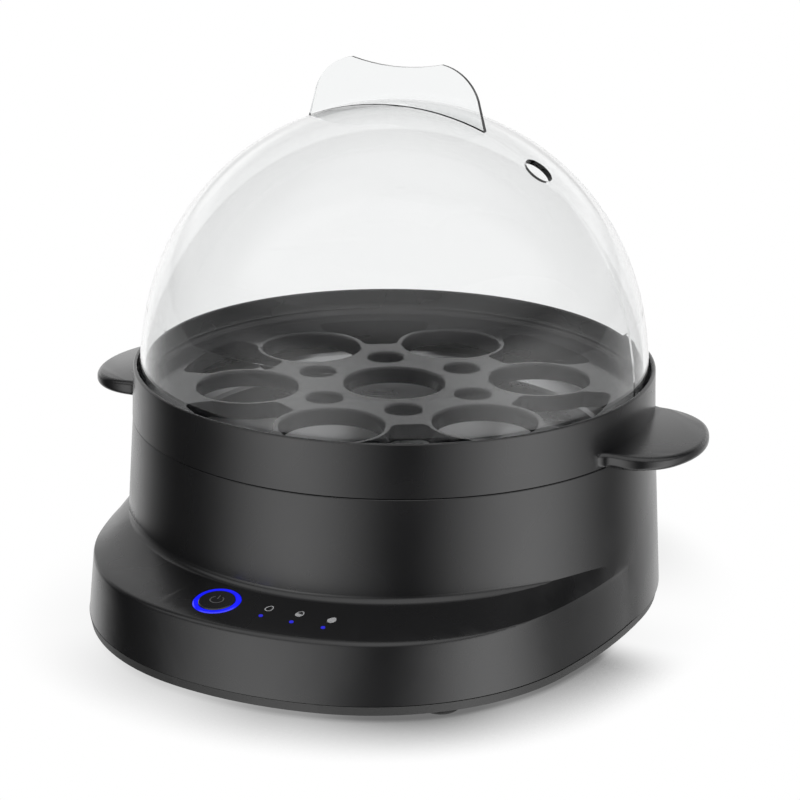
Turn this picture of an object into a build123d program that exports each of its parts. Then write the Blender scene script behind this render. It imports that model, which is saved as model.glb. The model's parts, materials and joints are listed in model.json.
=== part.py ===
from build123d import *
import math
import os

# Electric egg cooker for seven eggs: a heated base with a control nose, a lift-out
# tray with two ears, and a clear dome lid. Millimetres, +Z up, front towards -Y.
# Everything is drawn about the pot axis and moved onto the footprint's centre when
# it is written out. Angles in plan are measured from the front towards +X.

# Heights of the main levels
FOOT_HEIGHT = 2.0
COVER_RIM = 3.3
COVER_SEAM = 0.3
RIDGE_LEVEL = 27.3
HOUSING_TOP = 67.8
TRAY_SEAT_GAP = 0.3
LID_SEAT_GAP = 0.3

# Drum and walls. The drum's top radius is the main size: all other radii follow it
DRUM_TOP_RADIUS = 96.0
DRUM_DRAFT = 3.8
HOUSING_WALL = 2.4
RIM_ROUND = 0.6

# Outline of the base where it meets the bottom cover
NOSE_REACH = 27.2
CORNER_OFFSET = 41.0
SIDE_FLATTEN = 150.2

# Outline of the nose at its ridge, and the flare that runs from it up to the drum
RIDGE_SETBACK = 3.0
RIDGE_CORNER_INSET = 8.0
RIDGE_SIDE_INSET = 26.0
RIDGE_ROUND = 2.2
RIDGE_ROUND_LEAST = 0.2
RIDGE_STEPS = 4
RIDGE_WALL_LEAN = 8.0
RIDGE_PANEL_LEAN = 82.0
FLARE_SIDE_LEVEL = 38.6
FLARE_SLOPE = 0.0757
FLARE_BITE = 0.4
FLARE_SINK = 0.5

# Ledge in the drum that carries the heating pan
LEDGE_DROP = 5.6
LEDGE_THICKNESS = 2.4
LEDGE_PAN_GAP = 1.0

# Heating pan and its gasket
GASKET_HEIGHT = 1.6
GASKET_INNER_INSET = 0.7
GASKET_OUTER_INSET = 0.2
PAN_SKIRT_GAP = 0.8
PAN_FLANGE_THICKNESS = 1.2
PAN_FLANGE_WIDTH = 8.2
PAN_DRAFT = 2.5
PAN_DEPTH = 7.2
PAN_WALL = 1.5
PAN_BEND = 1.2
PAN_BOSS_INSET = 7.5
PAN_BOSS_RADIUS = 3.5
PAN_BOSS_LENGTH = 5.5
PAN_CLAMPS = 3
CLAMP_THICKNESS = 1.2
CLAMP_WIDTH = 12.0
CLAMP_TAIL = 5.0
CLAMP_KNEE = 1.2
CLAMP_HEEL = 0.4
CLAMP_TOE = 6.6
CLAMP_LEAN = 0.6

# Tray ring
RING_HEIGHT = 19.2
RING_OVERHANG = 0.1
RING_DRAFT = 0.6
RING_WALL = 2.1
RING_RIM_ROUND = 0.6
SHELF_THICKNESS = 2.5
SHELF_WIDTH = 2.5
SKIRT_GAP = 0.8
SKIRT_WALL = 1.8
SKIRT_DEPTH = 3.8

# Ears of the tray ring
EAR_LENGTH = 23.2
EAR_TIP_RADIUS = 40.0
EAR_CORNER_RADIUS = 20.0
EAR_HALF_WIDTH = 29.0
EAR_SINK = 0.3
EAR_ROOT_THICKNESS = 5.6
EAR_TIP_THICKNESS = 4.3
EAR_ROOT_ROUND = 5.0
EAR_EDGE_ROUND = 1.9

# Egg rack
DECK_DROP = 9.0
RACK_GAP = 0.4
RACK_THICKNESS = 2.0
RACK_STEP_HEIGHT = 1.7
RACK_STEP_BEVEL = 0.8
EGG_PITCH_RADIUS = 54.0
EGG_HOLE_RADIUS = 18.6
EGG_HOLE_TAPER = 0.7
OUTER_EGGS = 6
COLLAR_DEPTH = 6.0
COLLAR_WALL = 1.7
LIP_ROUND = 0.8
STEAM_HOLE_RADIUS = 6.65
STEAM_HOLE_TAPER = 0.3
BELL_INWARD = 6.0
BELL_SHELF_GAP = 7.0
BELL_HALF_ANGLE = 16.5
BELL_EGG_WEB = 2.0
BELL_ROUND = 3.6

# Dome lid
DOME_RING_GAP = 0.7
DOME_EXTRA_RISE = 7.8
DOME_BULGE = 40.0
DOME_WALL = 2.0
DOME_BAND = 0.5
DOME_STEP_MARGIN = 1.1
VENT_RADIUS = 5.6
VENT_ANGLE = 90.0
VENT_PLAN_RADIUS = 54.7
FIN_RISE = 16.1
FIN_HALF_LENGTH = 36.0
FIN_ROOT_DEPTH = 14.0
FIN_SLOPE_IN = 4.7
FIN_SLOPE_DROP = 11.7
FIN_SHOULDER = 17.4
FIN_BEND_OUT = 8.4
FIN_BEND_DROP = 3.7
FIN_DIP = 2.2
FIN_ROOT_THICKNESS = 2.8
FIN_TIP_THICKNESS = 1.2

# Controls on the nose
BUTTON_ANGLE = -9.1
BUTTON_INSET = 16.6
BUTTON_RADIUS = 6.5
BUTTON_GAP = 0.2
BUTTON_PROUD = 0.5
BUTTON_THICKNESS = 1.8
BUTTON_FLANGE = 1.0
LIGHT_RING_WIDTH = 1.7
LIGHT_LIP = 0.5
LIGHT_RING_PROUD = 0.25
LIGHT_RING_BEVEL = 0.4
LIGHT_TAB_REACH = 1.4
LIGHT_TAB_WIDTH = 9.0
LIGHT_TAB_THICKNESS = 1.5
LIGHT_RING_STOP = 3.0
STEM_RADIUS = 1.6
BUTTON_WALL = 1.4
BUTTON_EDGE_ROUND = 0.5
PANEL_HOLE_GAP = 0.1
PANEL_SEAT_GAP = 0.3
LENS_PLACES = ((0.7, 13.7), (6.5, 12.8), (12.2, 11.4))
LENS_RADIUS = 0.75
LENS_FLANGE_RADIUS = 1.7
LENS_FLANGE_THICKNESS = 1.0
LENS_SEAT_GAP = 0.5
LENS_PROUD = 0.15

# Control board under the panel
BOARD_THICKNESS = 1.6
CONTROL_DEPTH = 12.0
CONTROL_LEFT = 13.0
CONTROL_RIGHT = 48.0
CONTROL_FRONT = 8.0
CONTROL_BACK = 14.0
CONTROL_BOSSES = ((-9.5, 9.0), (44.0, 9.0), (12.5, -5.0))
CONTROL_BOSS_RADIUS = 2.8
SWITCH_SIDE = 6.0
SWITCH_HEIGHT = 3.5
PLUNGER_RADIUS = 1.7
PLUNGER_PROUD = 1.3
PLUNGER_GAP = 0.15
RING_LEDS = 6
LED_HEIGHT = 1.0
LIGHT_GAP = 0.3
RING_LED_LENGTH = 2.0
RING_LED_WIDTH = 1.2
BUZZER_RADIUS = 4.5
BUZZER_HEIGHT = 5.0
BUZZER_INSET_X = 16.0
BUZZER_INSET_Y = 1.0

# Bottom cover, feet and screws
COVER_FLOOR = 2.2
COVER_LIP = 1.6
COVER_LIP_HEIGHT = 3.2
COVER_GAP = 0.3
COVER_DRAFT = 0.6
FOOT_RADIUS = 7.0
FOOT_RECESS = 1.2
FOOT_INSET = 12.5
FOOT_FRONT_ANGLE = 32.0
FOOT_BACK_ANGLE = 148.0
COLUMN_RADIUS = 4.2
COLUMN_FRONT_INSET = 26.5
COLUMN_FRONT_ANGLE = 47.0
COLUMN_BACK_INSET = 8.4
COLUMN_BACK_ANGLE = 132.0
SCREW_RADIUS = 1.5
SCREW_GAP = 0.1
SCREW_CLEARANCE = 0.3
SCREW_HEAD_RADIUS = 2.9
SCREW_HEAD_HEIGHT = 2.2
SCREW_HEAD_CHAMFER = 0.6
SCREW_HEAD_CLEARANCE = 0.4
SCREW_SEAT_DROP = 1.0
SCREW_LENGTH = 11.0
CROSS_WIDTH = 0.8
CROSS_DEPTH = 1.2
SMALL_SCREW_RADIUS = 1.0
SMALL_SCREW_LENGTH = 6.0
SMALL_HEAD_RADIUS = 2.3
SMALL_HEAD_HEIGHT = 1.6
FOOT_GAP = 0.1
FOOT_CHAMFER = 0.8
VENT_SLOTS = 6
VENT_MIDDLE = -40.25
VENT_SLOT_LENGTH = 30.0
VENT_SLOT_WIDTH = 3.0
VENT_SLOT_PITCH = 7.5

# Heating element, diffuser and thermostat under the pan
DIFFUSER_GAP = 4.5
DIFFUSER_THICKNESS = 2.0
ELEMENT_INSET = 18.0
ELEMENT_TUBE = 3.3
ELEMENT_OPENING = 44.0
ELEMENT_BEND = 9.0
ELEMENT_LEG = 5.0
ELEMENT_GAP = 0.1
THERMOSTAT_RADIUS = 7.2
THERMOSTAT_CAP_RADIUS = 8.2
THERMOSTAT_CAP_HEIGHT = 3.0
THERMOSTAT_HEIGHT = 8.0
THERMOSTAT_BLADE_PITCH = 8.0
BLADE_WIDTH = 6.3
BLADE_THICKNESS = 0.8
THERMOSTAT_BLADE = 7.0
BEAD_RADIUS = 2.6
BEAD_LENGTH = 4.0
TERMINAL_BLADE = 8.0
BRACKET_THICKNESS = 0.8
BRACKET_WIDTH = 9.0
BRACKET_HALF_LENGTH = 20.0
BRACKET_RIM = 3.0
BRACKET_GAP = 0.15
BRACKET_STUD_PITCH = 16.0
STUD_RADIUS = 2.0
RIVET_RADIUS = 1.5
RIVET_PROUD = 0.8
FUSE_RADIUS = 2.0
FUSE_LENGTH = 11.0
FUSE_LEAD_RADIUS = 0.5
FUSE_LEAD = 8.0
FUSE_FRONT = 26.0
CLIP_THICKNESS = 0.8
CLIP_WIDTH = 5.0
CLIP_FOOT = 5.6
CLIP_GAP = 0.1

# Power board on the bottom cover
POWER_LENGTH = 84.0
POWER_WIDTH = 52.0
POWER_BACK = 16.0
POWER_STANDOFF = 6.5
STANDOFF_RADIUS = 3.2
STANDOFF_INSET = 4.5
COMPONENT_CHAMFER = 0.6
RELAY_LENGTH = 19.0
RELAY_WIDTH = 15.5
RELAY_HEIGHT = 15.5
RELAY_PLACE = (-24.0, 8.0)
CAPACITOR_LENGTH = 18.0
CAPACITOR_WIDTH = 8.0
CAPACITOR_HEIGHT = 12.0
CAPACITOR_PLACE = (0.0, 10.0)
TERMINAL_PITCH = 7.0
TERMINAL_WAYS = 3
TERMINAL_WIDTH = 12.0
TERMINAL_HEIGHT = 11.0
TERMINAL_PLACE = (23.0, 12.0)

# Rubber gland for the supply lead, in the back wall
GLAND_LEVEL = 19.0
GLAND_BORE = 3.6
GLAND_NECK = 5.6
GLAND_FLANGE_RADIUS = 7.6
GLAND_FLANGE = 1.6
GLAND_EDGE_ROUND = 0.7
GLAND_PAD_RADIUS = 9.4
GLAND_PAD_PROUD = 0.4
GLAND_PAD_SINK = 0.6

# How far a cutter runs past a face, and a joined piece into its neighbour
OVERRUN = 1.0
BITE = 0.5

COVER_TOP = FOOT_HEIGHT + COVER_RIM
HOUSING_BOTTOM = COVER_TOP + COVER_SEAM
COVER_FLOOR_TOP = FOOT_HEIGHT + COVER_FLOOR
BACK_RADIUS = DRUM_TOP_RADIUS + DRUM_DRAFT
FRONT_RADIUS = BACK_RADIUS + NOSE_REACH
CORNER_RADIUS = FRONT_RADIUS - CORNER_OFFSET
SIDE_RADIUS = BACK_RADIUS + SIDE_FLATTEN
RIDGE_FRONT_RADIUS = FRONT_RADIUS - RIDGE_SETBACK
RIDGE_CORNER_RADIUS = CORNER_RADIUS - RIDGE_CORNER_INSET
RIDGE_SIDE_RADIUS = SIDE_RADIUS - RIDGE_SIDE_INSET
NOSE_LEAN = (FRONT_RADIUS - RIDGE_FRONT_RADIUS) / (RIDGE_LEVEL - HOUSING_BOTTOM)
DRUM_SLOPE = (BACK_RADIUS - DRUM_TOP_RADIUS) / (HOUSING_TOP - HOUSING_BOTTOM)
DRUM_INNER_RADIUS = DRUM_TOP_RADIUS - HOUSING_WALL
SKIRT_OUTER_RADIUS = DRUM_INNER_RADIUS - SKIRT_GAP
SKIRT_INNER_RADIUS = SKIRT_OUTER_RADIUS - SKIRT_WALL
SHELF_INNER_RADIUS = SKIRT_INNER_RADIUS - SHELF_WIDTH
RING_RADIUS = DRUM_TOP_RADIUS + RING_OVERHANG
RING_INNER_RADIUS = RING_RADIUS - RING_WALL
EAR_REACH = RING_RADIUS + EAR_LENGTH
RING_BOTTOM = HOUSING_TOP + TRAY_SEAT_GAP
TRAY_RIM = RING_BOTTOM + RING_HEIGHT
DECK_TOP = TRAY_RIM - DECK_DROP
LEDGE_TOP = HOUSING_TOP - LEDGE_DROP
LEDGE_BOTTOM = LEDGE_TOP - LEDGE_THICKNESS
PAN_FLANGE_RADIUS = SKIRT_INNER_RADIUS - PAN_SKIRT_GAP
PAN_MOUTH_RADIUS = PAN_FLANGE_RADIUS - PAN_FLANGE_WIDTH
PAN_FLOOR_RADIUS = PAN_MOUTH_RADIUS - PAN_DRAFT
LEDGE_INNER_RADIUS = PAN_MOUTH_RADIUS + PAN_WALL + LEDGE_PAN_GAP
GASKET_INNER_RADIUS = LEDGE_INNER_RADIUS + GASKET_INNER_INSET
GASKET_OUTER_RADIUS = PAN_FLANGE_RADIUS - GASKET_OUTER_INSET
PAN_FLANGE_BOTTOM = LEDGE_TOP + GASKET_HEIGHT
PAN_FLANGE_TOP = PAN_FLANGE_BOTTOM + PAN_FLANGE_THICKNESS
PAN_FLOOR_TOP = PAN_FLANGE_TOP - PAN_DEPTH
PAN_FLOOR_BOTTOM = PAN_FLOOR_TOP - PAN_WALL
PAN_BOSS_PITCH_RADIUS = PAN_FLOOR_RADIUS - PAN_BOSS_INSET
PAN_BOSS_BOTTOM = PAN_FLOOR_BOTTOM - PAN_BOSS_LENGTH
DIFFUSER_RADIUS = PAN_BOSS_PITCH_RADIUS - PAN_BOSS_RADIUS - DIFFUSER_GAP
ELEMENT_RADIUS = DIFFUSER_RADIUS - ELEMENT_INSET
DIFFUSER_BOTTOM = PAN_FLOOR_BOTTOM - DIFFUSER_THICKNESS
ELEMENT_LEVEL = DIFFUSER_BOTTOM - ELEMENT_GAP - ELEMENT_TUBE
THERMOSTAT_SEAT = DIFFUSER_BOTTOM - THERMOSTAT_CAP_HEIGHT
FUSE_LEVEL = DIFFUSER_BOTTOM - ELEMENT_GAP - FUSE_RADIUS
RACK_RADIUS = RING_INNER_RADIUS - RACK_GAP
RACK_BOTTOM = DECK_TOP - RACK_THICKNESS
COLLAR_BOTTOM = DECK_TOP - COLLAR_DEPTH
STEAM_PITCH_RADIUS = EGG_PITCH_RADIUS / (2 * math.cos(math.pi / OUTER_EGGS))
DOME_RADIUS = RING_INNER_RADIUS - DOME_RING_GAP
DOME_RISE = DOME_RADIUS + DOME_EXTRA_RISE
DOME_SIDE_RADIUS = DOME_RADIUS + DOME_BULGE
RACK_STEP_INNER_RADIUS = DOME_RADIUS - DOME_WALL - DOME_STEP_MARGIN
LID_BOTTOM = DECK_TOP + RACK_STEP_HEIGHT + LID_SEAT_GAP
DOME_LEVEL = LID_BOTTOM + DOME_BAND
FIN_TOP = DOME_LEVEL + DOME_RISE + FIN_RISE
BELL_OUTER_RADIUS = SHELF_INNER_RADIUS - BELL_SHELF_GAP - COLLAR_WALL
BUTTON_PLAN_RADIUS = FRONT_RADIUS - BUTTON_INSET
LIGHT_RING_RADIUS = BUTTON_RADIUS + BUTTON_GAP + LIGHT_RING_WIDTH
LIGHT_TUBE_WALL = LIGHT_RING_WIDTH - LIGHT_LIP
FOOT_PLACES = (
    (FRONT_RADIUS - FOOT_INSET, FOOT_FRONT_ANGLE),
    (BACK_RADIUS - FOOT_INSET, FOOT_BACK_ANGLE),
)
COLUMN_PLACES = (
    (FRONT_RADIUS - COLUMN_FRONT_INSET, COLUMN_FRONT_ANGLE),
    (BACK_RADIUS - COLUMN_BACK_INSET, COLUMN_BACK_ANGLE),
)


def drum_radius(height):
    """Outside radius of the drum at a height."""
    return DRUM_TOP_RADIUS + (HOUSING_TOP - height) * DRUM_SLOPE


GLAND_FACE = drum_radius(GLAND_LEVEL) + GLAND_PAD_PROUD
BACK_REACH = GLAND_FACE + GLAND_FLANGE
AXIS_Y = (FRONT_RADIUS - BACK_REACH) / 2


def around(radius, angle, height=0.0, centre=(0.0, 0.0)):
    """Point at a plan radius and an angle from the front, about a centre."""
    turn = math.radians(angle)
    return (centre[0] + radius * math.sin(turn), centre[1] - radius * math.cos(turn), height)


def turned(corners, angle=360):
    """Solid turned about the pot axis from (radius, height) corners."""
    outline = Polyline(*[(radius, 0, height) for radius, height in corners], close=True)
    return revolve(make_face(outline), Axis.Z, angle)


def post(radius, bottom, top, place=(0.0, 0.0)):
    """Upright cylinder between two heights."""
    body = Cylinder(radius, top - bottom, align=(Align.CENTER, Align.CENTER, Align.MIN))
    return Pos(place[0], place[1], bottom) * body


def block(size_x, size_y, bottom, top, place=(0.0, 0.0)):
    """Upright box between two heights, centred on a place."""
    body = Box(size_x, size_y, top - bottom, align=(Align.CENTER, Align.CENTER, Align.MIN))
    return Pos(place[0], place[1], bottom) * body


def outline_plan(front, corner, side, back):
    """Centres and turning angles of the six tangent arcs of the base outline."""
    side_centre = back - side
    across = (front - corner) ** 2 - (side - corner) ** 2 + side_centre ** 2
    corner_x = across / (2 * side_centre)
    corner_y = math.sqrt((front - corner) ** 2 - corner_x ** 2)
    front_turn = math.degrees(math.atan2(corner_x, corner_y))
    corner_turn = math.degrees(math.atan2(corner_x - side_centre, corner_y))
    return side_centre, corner_x, corner_y, front_turn, corner_turn


def outline(front, corner, side, back, height):
    """Base outline of six tangent arcs, as a face."""
    side_centre, corner_x, corner_y, first, second = outline_plan(front, corner, side, back)
    arcs = (
        ((0, 0), front, -first, first),
        ((corner_x, -corner_y), corner, first, second),
        ((side_centre, 0), side, second, 90),
        ((0, 0), back, 90, 270),
        ((-side_centre, 0), side, 270, 360 - second),
        ((-corner_x, -corner_y), corner, 360 - second, 360 - first),
    )
    edges = []
    for centre, radius, start, end in arcs:
        begin = around(radius, start, height, centre)
        middle = around(radius, (start + end) / 2, height, centre)
        finish = around(radius, end, height, centre)
        edges.append(ThreePointArc(begin, middle, finish))
    return make_face(edges)


def flare_mouth(inset):
    """Sloping outline on the drum where the flare ends, split like the base outline."""
    back = drum_radius(RIDGE_LEVEL) - FLARE_SINK - inset
    side = RIDGE_SIDE_RADIUS - inset
    plan = outline_plan(RIDGE_FRONT_RADIUS - inset, RIDGE_CORNER_RADIUS - inset, side, back)
    touch = around(side, plan[4], 0, (plan[0], 0))
    second = math.degrees(math.atan2(touch[0], -touch[1]))
    turns = (-plan[3], plan[3], second, 90, 270, 360 - second, 360 - plan[3])
    radius = DRUM_TOP_RADIUS - FLARE_BITE - inset
    tilt = math.atan(FLARE_SLOPE)
    plane = Plane((0, 0, FLARE_SIDE_LEVEL)).rotated((math.degrees(tilt), 0, 0))
    edges = []
    for start, end in zip(turns[:-1], turns[1:]):
        arc = EllipticalCenterArc(
            (0, 0),
            radius,
            radius / math.cos(tilt),
            start_angle=start - 90,
            arc_size=end - start,
        )
        edges.append(plane * arc)
    return make_face(edges)


def ridge_sections(inset):
    """Outlines that round the ridge of the nose; they run out along the sides."""
    rounding = max(RIDGE_ROUND - inset, RIDGE_ROUND_LEAST)
    lean = math.radians(RIDGE_WALL_LEAN)
    sweep = math.radians(RIDGE_PANEL_LEAN - RIDGE_WALL_LEAN)
    setback = rounding * math.tan(sweep / 2)
    centre_in = rounding * math.cos(lean) - setback * math.sin(lean)
    centre_up = -rounding * math.sin(lean) - setback * math.cos(lean)
    back = drum_radius(RIDGE_LEVEL) - FLARE_SINK - inset
    sections = []
    for step in range(RIDGE_STEPS + 1):
        turn = lean + sweep * step / RIDGE_STEPS
        inward = centre_in - rounding * math.cos(turn)
        upward = centre_up + rounding * math.sin(turn)
        front = RIDGE_FRONT_RADIUS - inset - inward
        corner = RIDGE_CORNER_RADIUS - inset
        side = RIDGE_SIDE_RADIUS - inset
        sections.append(outline(front, corner, side, back, RIDGE_LEVEL + upward))
    return sections


def envelope(inset, lowered=0.0):
    """Outer form of the base, drawn in by an inset: flared nose joined with the drum."""
    foot = outline(
        FRONT_RADIUS - inset,
        CORNER_RADIUS - inset,
        SIDE_RADIUS - inset,
        BACK_RADIUS - FLARE_SINK - inset,
        HOUSING_BOTTOM,
    )
    nose = loft([foot] + ridge_sections(inset) + [flare_mouth(inset)], ruled=True)
    if lowered > 0:
        nose = Pos(0, 0, -lowered) * nose
    drum = turned(
        [
            (0, HOUSING_BOTTOM - lowered),
            (drum_radius(HOUSING_BOTTOM) - inset, HOUSING_BOTTOM - lowered),
            (DRUM_TOP_RADIUS - inset, HOUSING_TOP),
            (0, HOUSING_TOP),
        ]
    )
    return nose + drum


def panel_point(angle, radius):
    """Point on the sloping panel of the nose."""
    mouth_radius = DRUM_TOP_RADIUS - FLARE_BITE
    mouth = FLARE_SIDE_LEVEL - FLARE_SLOPE * mouth_radius * math.cos(math.radians(angle))
    share = (RIDGE_FRONT_RADIUS - radius) / (RIDGE_FRONT_RADIUS - mouth_radius)
    return around(radius, angle, RIDGE_LEVEL + share * (mouth - RIDGE_LEVEL))


def inner_drop():
    """How far the inner form sits lower, so that the panel keeps the wall's thickness."""
    outer = panel_point(0, RIDGE_FRONT_RADIUS)
    inner = panel_point(0, DRUM_TOP_RADIUS - FLARE_BITE)
    slope = math.atan2(inner[2] - outer[2], inner[1] - outer[1])
    return HOUSING_WALL * (1 / math.cos(slope) - math.tan(slope))


def control_plane():
    """Plane on the panel at the button: Z leaves the panel, X runs to the right."""
    here = Vector(*panel_point(BUTTON_ANGLE, BUTTON_PLAN_RADIUS))
    inner = Vector(*panel_point(BUTTON_ANGLE, BUTTON_PLAN_RADIUS - 1))
    beside = Vector(*panel_point(BUTTON_ANGLE + 1, BUTTON_PLAN_RADIUS))
    normal = (beside - here).cross(inner - here).normalized()
    return Plane(origin=here, x_dir=(1, 0, 0), z_dir=normal)


CONTROL = control_plane()
BOARD_TOP = -CONTROL_DEPTH
BOARD_BOTTOM = BOARD_TOP - BOARD_THICKNESS
PANEL_UNDER = -HOUSING_WALL


def lens_places():
    """Places of the indicator lenses in the control plane: x, y and panel height."""
    places = []
    for angle, setback in LENS_PLACES:
        local = CONTROL.to_local_coords(Vector(*panel_point(angle, FRONT_RADIUS - setback)))
        places.append((local.X, local.Y, local.Z))
    return places


def column_points():
    """Places of the four columns that take the bottom cover's screws."""
    points = []
    for radius, angle in COLUMN_PLACES:
        points.append(around(radius, angle)[:2])
        points.append(around(radius, -angle)[:2])
    return points


def foot_points():
    """Places of the four feet."""
    points = []
    for radius, angle in FOOT_PLACES:
        points.append(around(radius, angle)[:2])
        points.append(around(radius, -angle)[:2])
    return points


def make_base_housing():
    """One moulding: drum, flared nose, pan ledge, screw columns and board bosses."""
    shell = envelope(0)
    rim = shell.edges().filter_by(GeomType.CIRCLE).sort_by(Axis.Z)[-1]
    shell = fillet(rim, RIM_ROUND)
    shell -= envelope(HOUSING_WALL, inner_drop())
    ledge = turned(
        [
            (LEDGE_INNER_RADIUS, LEDGE_BOTTOM),
            (DRUM_INNER_RADIUS + HOUSING_WALL / 2, LEDGE_BOTTOM),
            (DRUM_INNER_RADIUS + HOUSING_WALL / 2, LEDGE_TOP),
            (LEDGE_INNER_RADIUS, LEDGE_TOP),
        ]
    )
    inner_form = envelope(HOUSING_WALL / 2, inner_drop() / 2)
    supports = []
    for place in column_points():
        supports.append(post(COLUMN_RADIUS, COVER_FLOOR_TOP, LEDGE_BOTTOM + 1, place))
    for x, y in CONTROL_BOSSES:
        supports.append(CONTROL * post(CONTROL_BOSS_RADIUS, BOARD_TOP, 2, (x, y)))
    reach = 3 * FRONT_RADIUS
    lower = block(reach, reach, COVER_FLOOR_TOP, HOUSING_BOTTOM + 0.5)
    for support in supports:
        shell += support & (inner_form + lower)
    shell += ledge
    pad_start = gland_start()
    pad = Plane((0, pad_start, GLAND_LEVEL), x_dir=(1, 0, 0), z_dir=(0, 1, 0))
    pad_depth = GLAND_FACE - pad_start
    shell += pad * post(GLAND_PAD_RADIUS, 0, pad_depth)
    shell -= pad * post(GLAND_NECK + PANEL_HOLE_GAP, -pad_depth, 2 * pad_depth)
    for place in column_points():
        shell -= post(SCREW_RADIUS + SCREW_GAP, 0, COVER_FLOOR_TOP + SCREW_LENGTH, place)
    for x, y in CONTROL_BOSSES:
        end = BOARD_BOTTOM + SMALL_SCREW_LENGTH + SCREW_CLEARANCE
        shell -= CONTROL * post(SMALL_SCREW_RADIUS + SCREW_GAP, BOARD_TOP - 1, end, (x, y))
    shell -= CONTROL * post(LIGHT_RING_RADIUS + PANEL_HOLE_GAP, BOARD_TOP, HOUSING_WALL)
    for x, y, height in lens_places():
        low = height - 2 * HOUSING_WALL
        hole = post(LENS_RADIUS + PANEL_HOLE_GAP, low, height + HOUSING_WALL, (x, y))
        shell -= CONTROL * hole
    return shell


def gland_start():
    """How far back the gland's pad begins, on the inside of the back wall."""
    return drum_radius(GLAND_LEVEL) - HOUSING_WALL - GLAND_PAD_SINK


def make_bottom_cover():
    """Plate that closes the base: locating lip, vents, standoffs and foot recesses."""
    def cover_outline(inset, height):
        return outline(
            FRONT_RADIUS - inset,
            CORNER_RADIUS - inset,
            SIDE_RADIUS - inset,
            BACK_RADIUS - inset,
            height,
        )

    low = cover_outline(COVER_GAP + COVER_DRAFT, FOOT_HEIGHT)
    high = cover_outline(COVER_GAP, COVER_TOP)
    cover = loft([low, high], ruled=True)
    lip_lean = NOSE_LEAN * (COVER_LIP_HEIGHT + inner_drop())
    lip_inset = HOUSING_WALL + COVER_GAP + lip_lean
    lip_top = COVER_TOP + COVER_LIP_HEIGHT
    pocket = extrude(cover_outline(lip_inset + COVER_LIP, COVER_FLOOR_TOP), COVER_RIM)
    cover -= pocket
    lip = extrude(cover_outline(lip_inset, COVER_TOP), COVER_LIP_HEIGHT)
    lip -= extrude(cover_outline(lip_inset + COVER_LIP, COVER_TOP), COVER_LIP_HEIGHT)
    cover += lip
    for place in column_points():
        cover -= post(COLUMN_RADIUS + COVER_GAP, COVER_FLOOR_TOP, lip_top + 1, place)
    for place in power_board_corners():
        cover += post(STANDOFF_RADIUS, COVER_FLOOR_TOP - 0.5, power_board_bottom(), place)
        top = power_board_bottom()
        low = top + BOARD_THICKNESS - SMALL_SCREW_LENGTH - SCREW_CLEARANCE
        cover -= post(SMALL_SCREW_RADIUS + SCREW_GAP, low, top + 1, place)
    for place in column_points():
        head_top = COVER_FLOOR_TOP - SCREW_SEAT_DROP
        cover -= post(SCREW_RADIUS + SCREW_CLEARANCE, 0, lip_top + 1, place)
        cover -= post(SCREW_HEAD_RADIUS + SCREW_HEAD_CLEARANCE, 0, head_top, place)
    for place in foot_points():
        cover -= post(FOOT_RADIUS + FOOT_GAP, 0, FOOT_HEIGHT + FOOT_RECESS, place)
    for number in range(VENT_SLOTS):
        middle = VENT_MIDDLE + ((VENT_SLOTS - 1) / 2 - number) * VENT_SLOT_PITCH
        slot = extrude(SlotOverall(VENT_SLOT_LENGTH, VENT_SLOT_WIDTH), lip_top)
        cover -= Pos(0, middle, 0) * slot
    return cover


def power_board_bottom():
    """Height of the power board's underside."""
    return COVER_FLOOR_TOP + POWER_STANDOFF


def power_board_corners():
    """Places of the power board's four standoffs."""
    reach_x = POWER_LENGTH / 2 - STANDOFF_INSET
    reach_y = POWER_WIDTH / 2 - STANDOFF_INSET
    return [
        (x, POWER_BACK + y)
        for x in (-reach_x, reach_x)
        for y in (-reach_y, reach_y)
    ]


def make_rubber_feet():
    """Four rubber feet, each set in its recess."""
    feet = []
    for place in foot_points():
        foot = post(FOOT_RADIUS, 0, FOOT_HEIGHT + FOOT_RECESS, place)
        bottom = foot.edges().filter_by(GeomType.CIRCLE).sort_by(Axis.Z)[0]
        feet.append(chamfer(bottom, FOOT_CHAMFER))
    return Compound(feet)


def screw(place, seat, length, radius=SCREW_RADIUS, head=SCREW_HEAD_RADIUS):
    """Screw driven upwards, its head under the seat level, with a cross recess."""
    shank = post(radius, seat, seat + length, place)
    top = post(head, seat - SCREW_HEAD_HEIGHT, seat, place)
    rim = top.edges().filter_by(GeomType.CIRCLE).sort_by(Axis.Z)[0]
    top = chamfer(rim, SCREW_HEAD_CHAMFER)
    bottom = seat - SCREW_HEAD_HEIGHT
    cross = block(head * 1.1, CROSS_WIDTH, bottom, bottom + CROSS_DEPTH, place)
    cross += block(CROSS_WIDTH, head * 1.1, bottom, bottom + CROSS_DEPTH, place)
    return shank + top - cross


def make_cover_screws():
    """Four screws that hold the bottom cover to the housing's columns."""
    seat = COVER_FLOOR_TOP - SCREW_SEAT_DROP
    return Compound([screw(p, seat, SCREW_LENGTH) for p in column_points()])


def make_pan_gasket():
    """Silicone ring between the ledge and the pan's flange."""
    return turned(
        [
            (GASKET_INNER_RADIUS, LEDGE_TOP),
            (GASKET_OUTER_RADIUS, LEDGE_TOP),
            (GASKET_OUTER_RADIUS, PAN_FLANGE_BOTTOM),
            (GASKET_INNER_RADIUS, PAN_FLANGE_BOTTOM),
        ]
    )


def clamp_angles():
    """Angles of the clamps that pull the pan down."""
    return [number * 360 / PAN_CLAMPS for number in range(PAN_CLAMPS)]


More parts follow.
